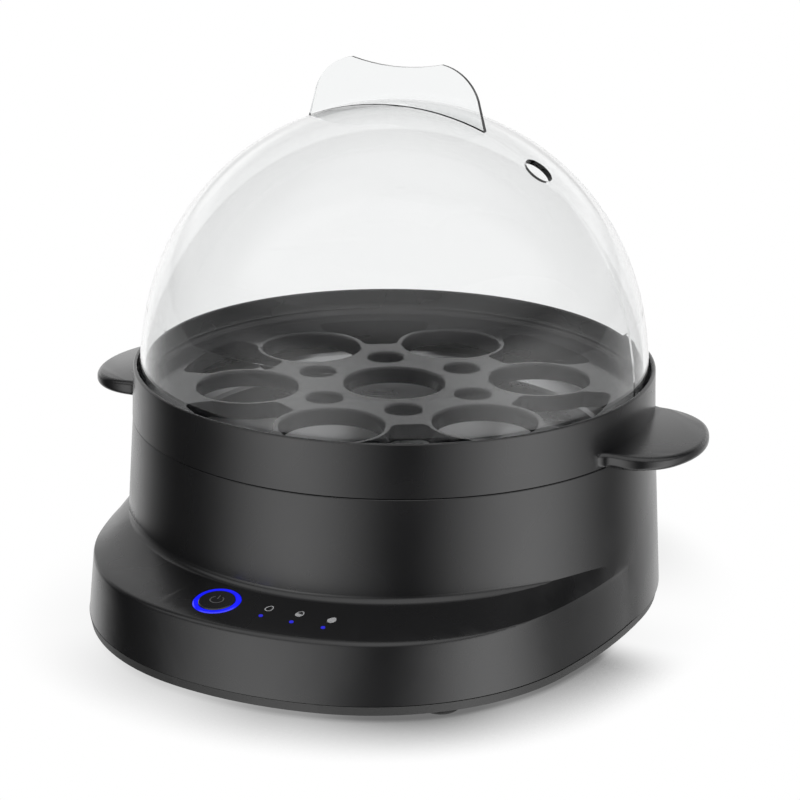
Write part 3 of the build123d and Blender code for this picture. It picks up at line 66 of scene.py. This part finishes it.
# Printed marks
PRINT_LIFT = 0.00006
PRINT_FROM = 0.06
PANEL_HEIGHT = 0.03
EGG_MARKS = ((0.1081, 1.1), (0.1087, 7.1), (0.1106, 13.2))
EGG_LENGTH = 0.0037
EGG_WIDTH = 0.0028
EGG_LINE = 0.00042
EGG_TAPER = 0.16
EGG_TURN = -14.0
EGG_STEPS = 48
CAP_CENTRE = (-0.01746, -0.09600)
ARC_OUTER = (0.0026, 0.0024)
ARC_INNER = (0.0021, 0.00193)
ARC_START = 125
ARC_SWEEP = 290
ARC_STEPS = 28
BAR_HALF_WIDTH = 0.00022
BAR_LOW = 0.0004
BAR_HIGH = 0.0028

# Soft blend in the corner between panel and drum, thinning out at its ends
BLEND_SIZE = 0.0021
BLEND_END_SIZE = 0.00002
BLEND_LIFT = 0.00004
BLEND_GAP = 0.00002
BLEND_HALF_ANGLE = 58.0
BLEND_FADE_ANGLE = 14.0
BLEND_STEPS = 116
BLEND_ARC_STEPS = 8
CORNER_OFFSET = 0.0003
CORNER_ROUNDS = 4
DRUM_LEVEL = 0.05
DRUM_SPAN = 0.01
DRUM_RAY_START = 0.16

# Corners between faces that meet below this angle are shaded smooth, also across CAD faces
CREASE = math.radians(24)
PLACE_DIGITS = 7

# Floor and its painted contact shadow (ambient occlusion darkens the floor's glow); the shares
# say how much of the painted shadow is kept round the object
FLOOR_REACH = 6.0
FLOOR_GREY = 0.28
SHADOW_REACH = 0.032
SHADOW_SAMPLES = 12
SHADOW_DEPTH = 2.5
SHADOW_FLOOR = 0.16
SHADOW_SOFTNESS = 0.12
SHADOW_SHARES = (
    (-150, 0.6), (-95, 0.03), (-50, 0.1), (-15, 0.42), (8, 0.7), (33, 1.0),
    (50, 0.8), (74, 0.95), (88, 0.1), (105, 0.03), (150, 0.3),
)

# Studio that the reflections see: brightness of the upright strips, by angle, and of the
# pale far side, the soft light above and the near side; ranges are of the direction's
# height or of how far it points away from the viewer
ROOM_STRIPS = (
    (-127, 1.15), (-88, 0.01), (-66, 0.08), (-18, 2.5),
    (29, 0.01), (80, 2.9), (130, 0.3), (162, 0.9),
)
STRIP_HEIGHTS = (0.10, 0.36)
AWAY = (-0.402, 0.916, 0.0)
FAR_LEVEL = 0.8
FAR_SPREAD = (0.3, 0.75)
FAR_HEIGHTS = (0.02, 0.22)
ABOVE_LEVEL = 0.6
ABOVE_HEIGHTS = (0.72, 0.95)
NEAR_LEVEL = 1.5
NEAR_SPREAD = (-0.1, 0.2)
NEAR_HEIGHTS = (0.25, 0.6)
FILL_LEVEL = 0.42
WHITE_LEVEL = 1.0
TURNED_BACK_LEVEL = 0.6

WHITE = (1, 1, 1, 1)
MATERIAL_OUTPUT = "ShaderNodeOutputMaterial"


def set_camera():
    data = bpy.data.cameras.new("camera")
    data.lens = CAMERA_LENS
    data.sensor_width = CAMERA_SENSOR
    data.clip_start = CAMERA_NEAR
    data.clip_end = CAMERA_FAR
    camera = bpy.data.objects.new("camera", data)
    scene.collection.objects.link(camera)
    turn = Matrix(CAMERA_TURN).to_4x4()
    camera.matrix_world = Matrix.Translation(CAMERA_PLACE) @ turn
    scene.camera = camera


class Graph:
    """The emptied node tree of a material or world, with short ways to add to it."""

    def __init__(self, owner, output=MATERIAL_OUTPUT):
        owner.use_nodes = True
        self.owner = owner
        self.tree = owner.node_tree
        self.tree.nodes.clear()
        self.out = self.add(output)

    def add(self, kind, **values):
        """New node; a value sets its property of that name, or else that input."""
        node = self.tree.nodes.new(kind)
        for key, value in values.items():
            if hasattr(node, key):
                setattr(node, key, value)
            else:
                node.inputs[key.replace("_", " ")].default_value = value
        return node

    def feed(self, entry, value):
        """Give an input a value, or join another node's output to it."""
        if isinstance(value, bpy.types.NodeSocket):
            self.tree.links.new(value, entry)
        else:
            entry.default_value = value

    def finish(self, output):
        self.feed(self.out.inputs["Surface"], output)

    def principled(self, **values):
        shader = self.add("ShaderNodeBsdfPrincipled", **values)
        self.finish(shader.outputs["BSDF"])
        return shader

    def place(self):
        return self.add("ShaderNodeTexCoord").outputs["Object"]

    def noise(self, place, scale, detail):
        texture = self.add("ShaderNodeTexNoise", Scale=scale, Detail=detail)
        self.feed(texture.inputs["Vector"], place)
        return texture.outputs["Fac"]

    def range(self, source, limits, levels, interpolation="LINEAR"):
        """Runs from one level to the other as the source goes through the limits."""
        node = self.add("ShaderNodeMapRange", interpolation_type=interpolation)
        node.inputs["From Min"].default_value = limits[0]
        node.inputs["From Max"].default_value = limits[1]
        node.inputs["To Min"].default_value = levels[0]
        node.inputs["To Max"].default_value = levels[1]
        self.feed(node.inputs["Value"], source)
        return node.outputs["Result"]

    def eased(self, source, limits, levels):
        return self.range(source, limits, levels, "SMOOTHSTEP")

    def math(self, operation, *values):
        node = self.add("ShaderNodeMath", operation=operation)
        for entry, value in zip(node.inputs, values):
            self.feed(entry, value)
        return node.outputs[0]

    def colour_mix(self, factor, first, second):
        node = self.add("ShaderNodeMix", data_type="RGBA")
        node.inputs["A"].default_value = (*first, 1)
        node.inputs["B"].default_value = (*second, 1)
        self.feed(node.inputs["Factor"], factor)
        return node.outputs["Result"]

    def shader_mix(self, factor, first, second):
        node = self.add("ShaderNodeMixShader")
        for entry, value in zip(node.inputs, (factor, first, second)):
            self.feed(entry, value)
        return node.outputs[0]

    def bump(self, shader, height, strength, distance=0.0002):
        relief = self.add("ShaderNodeBump", Strength=strength, Distance=distance)
        self.feed(relief.inputs["Height"], height)
        self.feed(shader.inputs["Normal"], relief.outputs["Normal"])

    def strips(self, x, y, stops):
        """Level round the object: a ramp over the angle, closed behind it."""
        angle = self.math("ARCTAN2", x, self.math("MULTIPLY", y, -1.0))
        share = self.range(angle, (-math.pi, math.pi), (0.0, 1.0))
        ramp = self.add("ShaderNodeValToRGB")
        ramp.color_ramp.interpolation = "EASE"
        top = max(level for _, level in stops)
        ends = (stops[0][1] + stops[-1][1]) / 2
        for number, element in enumerate(ramp.color_ramp.elements):
            element.position = number
            element.color = (*[ends / top] * 3, 1)
        for degrees, level in stops:
            stop = ramp.color_ramp.elements.new((degrees + 180) / 360)
            stop.color = (*[level / top] * 3, 1)
        self.feed(ramp.inputs["Fac"], share)
        return self.math("MULTIPLY", ramp.outputs["Color"], top)


def scaled(colour, factor):
    return [min(1, part * factor) for part in colour]


def moulded(name, colour, roughness, spread=0.04, grain=1400.0, bump=0.02,
            specular=0.5, coat=0.0):
    """Moulded plastic: faint colour and roughness drift, and the fine grain of the tool."""
    g = Graph(bpy.data.materials.new(name))
    shader = g.principled(Base_Color=(*colour, 1), Roughness=roughness,
                          Specular_IOR_Level=specular)
    if coat:
        shader.inputs["Coat Weight"].default_value = coat
        shader.inputs["Coat Roughness"].default_value = 0.06
    place = g.place()
    drift = g.noise(place, 26.0, 3.0)
    level = g.range(drift, (0.3, 0.7), (roughness - spread, roughness + spread))
    g.feed(shader.inputs["Roughness"], level)
    tint = g.colour_mix(drift, scaled(colour, 0.86), scaled(colour, 1.16))
    g.feed(shader.inputs["Base Color"], tint)
    g.bump(shader, g.noise(place, grain, 2.0), bump)
    return g.owner


def metal(name, colour, roughness, streaks=(6.0, 6.0, 220.0), bump=0.05):
    """Rolled or drawn metal with fine streaks."""
    g = Graph(bpy.data.materials.new(name))
    shader = g.principled(Base_Color=(*colour, 1), Roughness=roughness, Metallic=1.0)
    stretch = g.add("ShaderNodeMapping", Scale=streaks)
    g.feed(stretch.inputs["Vector"], g.place())
    noise = g.noise(stretch.outputs["Vector"], 8.0, 6.0)
    level = g.range(noise, (0.0, 1.0), (max(0.02, roughness - 0.12), roughness + 0.12))
    g.feed(shader.inputs["Roughness"], level)
    g.bump(shader, noise, bump)
    return g.owner


def lit(name, colour, strength, body):
    """Translucent moulding with light behind it, slightly uneven."""
    g = Graph(bpy.data.materials.new(name))
    shader = g.principled(Base_Color=(*body, 1), Roughness=0.22,
                          Emission_Color=(*colour, 1), Emission_Strength=strength)
    noise = g.noise(g.place(), 260.0, 2.0)
    level = g.range(noise, (0.0, 1.0), (strength * 0.7, strength * 1.3))
    g.feed(shader.inputs["Emission Strength"], level)
    return g.owner


def clear(name, colour, grip_colour):
    """Clear polished plastic, greyer in the solid grip; it casts hardly any shadow."""
    g = Graph(bpy.data.materials.new(name))
    shader = g.add("ShaderNodeBsdfPrincipled", Base_Color=(*colour, 1), Roughness=0.015,
                   IOR=1.4, Transmission_Weight=1.0)
    place = g.place()
    parts = g.add("ShaderNodeSeparateXYZ")
    g.feed(parts.inputs["Vector"], place)
    high = g.range(parts.outputs["Z"], (GRIP_LOW, GRIP_LOW + GRIP_FADE), (0.0, 1.0))
    reach = g.add("ShaderNodeVectorMath", operation="DISTANCE")
    g.feed(reach.inputs[0], place)
    g.feed(reach.inputs[1], (0.0, AXIS_Y, CROWN_CENTRE))
    skin = [CROWN_RADIUS + depth for depth in CROWN_SKIN]
    outside = g.range(reach.outputs["Value"], skin, (0.0, 1.0))
    tint = g.colour_mix(g.math("MULTIPLY", high, outside), colour, grip_colour)
    g.feed(shader.inputs["Base Color"], tint)
    g.bump(shader, g.noise(place, 9.0, 1.0), 0.02, 0.001)
    through = g.add("ShaderNodeBsdfTransparent", Color=(0.93, 0.94, 0.94, 1))
    path = g.add("ShaderNodeLightPath")
    g.finish(g.shader_mix(path.outputs["Is Shadow Ray"], shader.outputs["BSDF"],
                          through.outputs["BSDF"]))
    return g.owner


def print_ink(name, colour):
    """Matt print on the panel, slightly uneven."""
    g = Graph(bpy.data.materials.new(name))
    shader = g.principled(Base_Color=(*colour, 1), Roughness=0.55)
    noise = g.noise(g.place(), 900.0, 2.0)
    tint = g.colour_mix(noise, scaled(colour, 0.85), scaled(colour, 1.1))
    g.feed(shader.inputs["Base Color"], tint)
    return g.owner


BLACK = (0.0042, 0.0042, 0.0045)
LIT_BODY = (0.002, 0.004, 0.08)
LOOKS = {
    "housing_plastic": moulded("housing_plastic", BLACK, 0.27),
    "tray_plastic": moulded("tray_plastic", BLACK, 0.27),
    "rack_plastic": moulded("rack_plastic", (0.005, 0.005, 0.0055), 0.12, 0.02, 300.0, 0.01),
    "clear_plastic": clear("clear_plastic", (0.965, 0.97, 0.97), (0.87, 0.88, 0.88)),
    "cover_plastic": moulded("cover_plastic", (0.012, 0.012, 0.012), 0.5, 0.05, 1800.0, 0.08),
    "foot_rubber": moulded("foot_rubber", (0.018, 0.018, 0.018), 0.75, 0.05, 1500.0, 0.15, 0.3),
    "silicone": moulded("silicone", (0.6, 0.59, 0.56), 0.6, 0.05, 700.0, 0.05),
    "pan_metal": metal("pan_metal", (0.62, 0.62, 0.63), 0.3, (4.0, 4.0, 4.0), 0.01),
    "plate_aluminium": metal("plate_aluminium", (0.7, 0.7, 0.71), 0.4),
    "sheath_steel": metal("sheath_steel", (0.42, 0.4, 0.37), 0.45),
    "terminal_steel": metal("terminal_steel", (0.6, 0.6, 0.58), 0.35),
    "zinc_steel": metal("zinc_steel", (0.62, 0.63, 0.65), 0.35),
    "screw_steel": metal("screw_steel", (0.5, 0.51, 0.53), 0.3),
    "phenolic": moulded("phenolic", (0.03, 0.022, 0.018), 0.4),
    "fuse_metal": metal("fuse_metal", (0.6, 0.59, 0.56), 0.3),
    "board_laminate": moulded("board_laminate", (0.02, 0.12, 0.05), 0.35, 0.04, 900.0, 0.05,
                              0.5, 0.4),
    "switch_plastic": moulded("switch_plastic", (0.012, 0.012, 0.012), 0.45),
    "plunger_plastic": moulded("plunger_plastic", (0.6, 0.58, 0.52), 0.45),
    "button_plastic": moulded("button_plastic", (0.008, 0.008, 0.009), 0.18, 0.03, 900.0, 0.01),
    "ring_plastic": lit("ring_plastic", (0.006, 0.008, 1.0), 0.9, LIT_BODY),
    "led_plastic": moulded("led_plastic", (0.8, 0.8, 0.74), 0.4),
    "lens_plastic": lit("lens_plastic", (0.035, 0.03, 0.8), 0.65, LIT_BODY),
    "relay_plastic": moulded("relay_plastic", (0.01, 0.04, 0.2), 0.3),
    "capacitor_plastic": moulded("capacitor_plastic", (0.5, 0.36, 0.05), 0.45),
    "terminal_plastic": moulded("terminal_plastic", (0.03, 0.16, 0.07), 0.4),
}
INK = print_ink("mark_print", (0.24, 0.24, 0.245))
FAINT_INK = print_ink("cap_mark_print", (0.045, 0.045, 0.047))


def dress_nodes():
    """Give each CAD node the look of its material slot."""
    for entry in frame["record"]["subparts"]:
        node = nodes[entry["node"]]
        look = LOOKS[entry["material_slot"]]
        if not node.data.materials:
            node.data.materials.append(look)
        for index in range(len(node.data.materials)):
            node.material_slots[index].link = "DATA"
            node.data.materials[index] = look


def surface_tree(name):
    """Ray-casting tree of a node, in the row frame."""
    mesh = bmesh.new()
    mesh.from_mesh(nodes[name].data)
    tree = BVHTree.FromBMesh(mesh)
    mesh.free()
    return tree


def lay(tree, x, y, lift=PRINT_LIFT):
    """Point on the surface under a place in plan, raised by a print's thickness."""
    place, normal, _, _ = tree.ray_cast(Vector((x, y, PRINT_FROM)), Vector((0, 0, -1)))
    if place is None:
        return Vector((x, y, PANEL_HEIGHT))
    if normal.z < 0:
        normal = -normal
    return place + normal * lift


def add_piece(name, points, faces, material, body):
    """Thin piece that faces up and rides on a body."""
    mesh = bpy.data.meshes.new(name)
    mesh.from_pydata(points, [], faces)
    mesh.update()
    down = [polygon for polygon in mesh.polygons if polygon.normal.z < 0]
    if len(down) > len(mesh.polygons) / 2:
        mesh.flip_normals()
    mesh.materials.append(material)
    piece = bpy.data.objects.new(name, mesh)
    scene.collection.objects.link(piece)
    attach(piece, body)
    return piece


def around_axis(radius, angle):
    """Place in plan at a radius and angle round the drum's axis."""
    turn = math.radians(angle)
    return (radius * math.sin(turn), AXIS_Y - radius * math.cos(turn))


def egg_outline(length, width, centre):
    """Egg outline in plan, turned as on the panel."""
    turn = math.radians(EGG_TURN)
    points = []
    for step in range(EGG_STEPS):
        angle = 2 * math.pi * step / EGG_STEPS
        y = 0.5 * length * math.sin(angle)
        x = 0.5 * width * (1 - EGG_TAPER * math.sin(angle)) * math.cos(angle)
        points.append((centre[0] + x * math.cos(turn) - y * math.sin(turn),
                       centre[1] + x * math.sin(turn) + y * math.cos(turn)))
    return points


def print_eggs(panel):
    """Three egg marks on the panel: an outline, one half filled, one filled."""
    count = EGG_STEPS
    fills = (None, [*range(count + count // 2, 2 * count), count], range(count, 2 * count))
    for number, (radius, angle) in enumerate(EGG_MARKS):
        centre = around_axis(radius, angle)
        outer = egg_outline(EGG_LENGTH, EGG_WIDTH, centre)
        inner = egg_outline(EGG_LENGTH - 2 * EGG_LINE, EGG_WIDTH - 2 * EGG_LINE, centre)
        points = [lay(panel, x, y) for x, y in outer + inner]
        faces = []
        for step in range(count):
            after = (step + 1) % count
            faces.append((step, after, count + after, count + step))
        if fills[number]:
            faces.append(tuple(fills[number]))
        add_piece("egg_mark_%d" % (number + 1), points, faces, INK, "base")


def print_power():
    """Power symbol on the cap: an open circle and a bar in its gap."""
    cap = surface_tree("power_button")
    x, y = CAP_CENTRE
    points = []
    for width, height in (ARC_OUTER, ARC_INNER):
        for step in range(ARC_STEPS + 1):
            angle = math.radians(ARC_START + step * ARC_SWEEP / ARC_STEPS)
            points.append(lay(cap, x + width * math.cos(angle), y + height * math.sin(angle)))
    width = ARC_STEPS + 1
    faces = [(step, step + 1, width + step + 1, width + step) for step in range(ARC_STEPS)]
    add_piece("power_mark_arc", points, faces, FAINT_INK, "button")
    bar = ((-BAR_HALF_WIDTH, BAR_LOW), (BAR_HALF_WIDTH, BAR_LOW),
           (BAR_HALF_WIDTH, BAR_HIGH), (-BAR_HALF_WIDTH, BAR_HIGH))
    points = [lay(cap, x + out, y + up) for out, up in bar]
    add_piece("power_mark_bar", points, [(0, 1, 2, 3)], FAINT_INK, "button")


def drum_radius(panel, angles, height):
    """Radius of the drum's outside at a height, over the steps of the mesh's facets."""
    radii = []
    for angle in angles:
        turn = math.radians(angle)
        outward = Vector((math.sin(turn), -math.cos(turn), 0))
        start = Vector((0, AXIS_Y, height)) + outward * DRUM_RAY_START
        place, _, _, _ = panel.ray_cast(start, -outward)
        radii.append(math.hypot(place.x, place.y - AXIS_Y))
    return max(radii)


def evened(values, reach=5, rounds=3):
    """Moving average that takes out the steps of the mesh's facets."""
    for _ in range(rounds):
        spread = []
        for step in range(len(values)):
            span = min(reach, step, len(values) - 1 - step)
            near = values[step - span:step + span + 1]
            spread.append(sum(near) / len(near))
        values = spread
    return values


def blend_corner(panel):
    """Hollow quarter round that is laid in the corner between panel and drum."""
    angles = [BLEND_HALF_ANGLE * (2 * step / BLEND_STEPS - 1)
              for step in range(BLEND_STEPS + 1)]
    drum = drum_radius(panel, angles, DRUM_LEVEL)
    slope = (drum - drum_radius(panel, angles, DRUM_LEVEL + DRUM_SPAN)) / DRUM_SPAN
    span = 2 * BLEND_SIZE
    levels = []
    rises = []
    for angle in angles:
        corner = drum
        for _ in range(CORNER_ROUNDS):
            level = lay(panel, *around_axis(corner + CORNER_OFFSET, angle), 0.0).z
            corner = drum + (DRUM_LEVEL - level) * slope
        outer = lay(panel, *around_axis(corner + CORNER_OFFSET + span, angle), 0.0).z
        levels.append(level)
        rises.append((outer - level) / span)
    points = []
    for angle, level, rise in zip(angles, evened(levels), evened(rises)):
        fade = min(1.0, (BLEND_HALF_ANGLE - abs(angle)) / BLEND_FADE_ANGLE)
        size = BLEND_SIZE * math.sqrt(max(fade, 0.0)) + BLEND_END_SIZE
        corner = drum + (DRUM_LEVEL - level) * slope
        for part in range(BLEND_ARC_STEPS + 1):
            turn = 0.5 * math.pi * part / BLEND_ARC_STEPS
            out = size * (1 - math.sin(turn))
            up = size * (1 - math.cos(turn))
            x, y = around_axis(corner - slope * up + out + BLEND_GAP, angle)
            points.append(Vector((x, y, level + up + rise * out + BLEND_LIFT)))
    faces = []
    width = BLEND_ARC_STEPS + 1
    for step in range(BLEND_STEPS):
        for part in range(BLEND_ARC_STEPS):
            first = step * width + part
            faces.append((first, first + width, first + width + 1, first + 1))
    piece = add_piece("panel_blend", points, faces, LOOKS["housing_plastic"], "base")
    for polygon in piece.data.polygons:
        polygon.use_smooth = True


def smooth_corners(mesh):
    """Corner normals averaged over the neighbouring faces that aren't across a crease."""

    def key(corner):
        return tuple(round(value, PLACE_DIGITS) for value in corner)

    around = {}
    for polygon in mesh.polygons:
        corners = [mesh.vertices[index].co for index in polygon.vertices]
        for step, corner in enumerate(corners):
            before = corners[step - 1] - corner
            after = corners[(step + 1) % len(corners)] - corner
            width = before.angle(after) if before.length and after.length else 0.0
            around.setdefault(key(corner), []).append((polygon.normal, width))
    normals = []
    limit = math.cos(CREASE)
    for polygon in mesh.polygons:
        for index in polygon.vertices:
            total = Vector((0, 0, 0))
            for normal, width in around[key(mesh.vertices[index].co)]:
                if normal.dot(polygon.normal) > limit:
                    total += normal * width
            normals.append(total.normalized() if total.length else polygon.normal)
        polygon.use_smooth = True
    mesh.normals_split_custom_set(normals)


def shade_nodes():
    """Smooth shading; the two large mouldings also across the borders of CAD faces."""
    for name in ("base_housing", "tray_ring"):
        smooth_corners(nodes[name].data)
    for node in nodes.values():
        for polygon in node.data.polygons:
            polygon.use_smooth = True


def lay_floor():
    """White floor with a painted soft contact shadow from ambient occlusion; reflections look
    past it into the studio.
    """
    mesh = bpy.data.meshes.new("floor")
    far = FLOOR_REACH
    mesh.from_pydata([(-far, -far, 0), (far, -far, 0), (far, far, 0), (-far, far, 0)], [],
                     [(0, 1, 2, 3)])
    floor = bpy.data.objects.new("floor", mesh)
    scene.collection.objects.link(floor)
    g = Graph(bpy.data.materials.new("floor"))
    # Painted shadow: the floor's emission is darkened near the object by ambient occlusion,
    # weighted by direction round it
    shade = g.add("ShaderNodeAmbientOcclusion", samples=SHADOW_SAMPLES, Distance=SHADOW_REACH)
    parts = g.add("ShaderNodeSeparateXYZ")
    g.feed(parts.inputs["Vector"], g.add("ShaderNodeNewGeometry").outputs["Position"])
    shares = g.strips(parts.outputs["X"], parts.outputs["Y"], SHADOW_SHARES)
    dark = g.math("SUBTRACT", 1.0, g.math("POWER", shade.outputs["AO"], SHADOW_DEPTH))
    light = g.math("SUBTRACT", 1.0, g.math("MULTIPLY", dark, shares))
    paper_and_painted_shadow = g.add("ShaderNodeEmission", Color=WHITE)
    g.feed(paper_and_painted_shadow.inputs["Strength"],
           g.math("SMOOTH_MAX", light, SHADOW_FLOOR, SHADOW_SOFTNESS))
    dim = g.add("ShaderNodeBsdfDiffuse", Color=(FLOOR_GREY, FLOOR_GREY, FLOOR_GREY, 1))
    absent = g.add("ShaderNodeBsdfTransparent", Color=WHITE)
    path = g.add("ShaderNodeLightPath").outputs
    seen = g.math("MAXIMUM", path["Is Camera Ray"], path["Is Transmission Ray"])
    unseen = g.shader_mix(path["Is Glossy Ray"], dim.outputs["BSDF"], absent.outputs["BSDF"])
    g.finish(g.shader_mix(seen, unseen, paper_and_painted_shadow.outputs["Emission"]))
    g.owner.cycles.emission_sampling = "NONE"
    mesh.materials.append(g.owner)


def light_studio():
    """World: white behind, even fill light, and the studio that the reflections see."""
    scene.world = bpy.data.worlds.new("studio")
    g = Graph(scene.world, "ShaderNodeOutputWorld")
    direction = g.add("ShaderNodeTexCoord").outputs["Generated"]
    parts = g.add("ShaderNodeSeparateXYZ")
    g.feed(parts.inputs["Vector"], direction)
    height = parts.outputs["Z"]
    facing = g.add("ShaderNodeVectorMath", operation="DOT_PRODUCT")
    g.feed(facing.inputs[0], direction)
    g.feed(facing.inputs[1], AWAY)
    away = facing.outputs["Value"]

    upright = g.math("MULTIPLY", g.strips(parts.outputs["X"], parts.outputs["Y"], ROOM_STRIPS),
                     g.eased(height, STRIP_HEIGHTS, (1.0, 0.0)))
    far_side = g.math("MULTIPLY", g.eased(away, FAR_SPREAD, (0.0, FAR_LEVEL)),
                      g.eased(height, FAR_HEIGHTS, (0.0, 1.0)))
    near_side = g.math("MULTIPLY", g.eased(away, NEAR_SPREAD, (1.0, 0.0)),
                       g.eased(height, NEAR_HEIGHTS, (0.0, NEAR_LEVEL)))
    above = g.math("MAXIMUM", g.eased(height, ABOVE_HEIGHTS, (0.0, ABOVE_LEVEL)), near_side)
    room = g.math("ADD", g.math("ADD", upright, far_side), above)

    path = g.add("ShaderNodeLightPath").outputs
    gloss = g.add("ShaderNodeBackground", Color=WHITE)
    g.feed(gloss.inputs["Strength"], room)
    fill = g.add("ShaderNodeBackground", Color=WHITE, Strength=FILL_LEVEL)
    # What a surface behind the lid mirrors, and what the lid's edges turn back, is darker
    white = g.add("ShaderNodeBackground", Color=WHITE, Strength=WHITE_LEVEL)
    g.feed(white.inputs["Strength"],
           g.eased(path["Glossy Depth"], (0.0, 1.0), (WHITE_LEVEL, TURNED_BACK_LEVEL)))
    unseen = g.shader_mix(path["Is Glossy Ray"], fill.outputs[0], gloss.outputs[0])
    seen = g.math("MAXIMUM", path["Is Camera Ray"], path["Is Transmission Ray"])
    g.finish(g.shader_mix(seen, unseen, white.outputs[0]))


def soft_light(name, place, width, height, watts):
    """Soft light aimed at the object, unseen itself."""
    data = bpy.data.lights.new(name, "AREA")
    data.shape = "RECTANGLE"
    data.size = width
    data.size_y = height
    data.energy = watts
    lamp = bpy.data.objects.new(name, data)
    scene.collection.objects.link(lamp)
    lamp.location = place
    lamp.visible_camera = False
    lamp.visible_glossy = False
    lamp.visible_transmission = False
    return lamp


LAMP_DISTANCE = 1.1
LAMP_LOW = 0.02
LAMP_AIM = Vector((0, 0, 0.1))
OVERHEAD_PLACE = (0.0, 0.15, 1.3)
OVERHEAD_SIZE = 1.0
OVERHEAD_WATTS = 8.0
# Name, angle, top, width and watts of the upright lights
UPRIGHT_LIGHTS = (
    ("key", -11, 0.9, 0.45, 9.0),
    ("side", 78, 0.9, 0.75, 12.0),
    ("rim_left", -126, 0.8, 0.4, 9.0),
    ("rim_right", 172, 0.8, 0.4, 9.0),
)


def hang_lights():
    for name, angle, top, width, watts in UPRIGHT_LIGHTS:
        turn = math.radians(angle)
        place = Vector((LAMP_DISTANCE * math.sin(turn), -LAMP_DISTANCE * math.cos(turn),
                        (LAMP_LOW + top) / 2))
        lamp = soft_light(name, place, width, top - LAMP_LOW, watts)
        lamp.rotation_euler = (LAMP_AIM - place).to_track_quat("-Z", "Y").to_euler()
    soft_light("overhead", OVERHEAD_PLACE, OVERHEAD_SIZE, OVERHEAD_SIZE, OVERHEAD_WATTS)


set_camera()
dress_nodes()
panel = surface_tree("base_housing")
print_eggs(panel)
print_power()
blend_corner(panel)
shade_nodes()
lay_floor()
light_studio()
hang_lights()
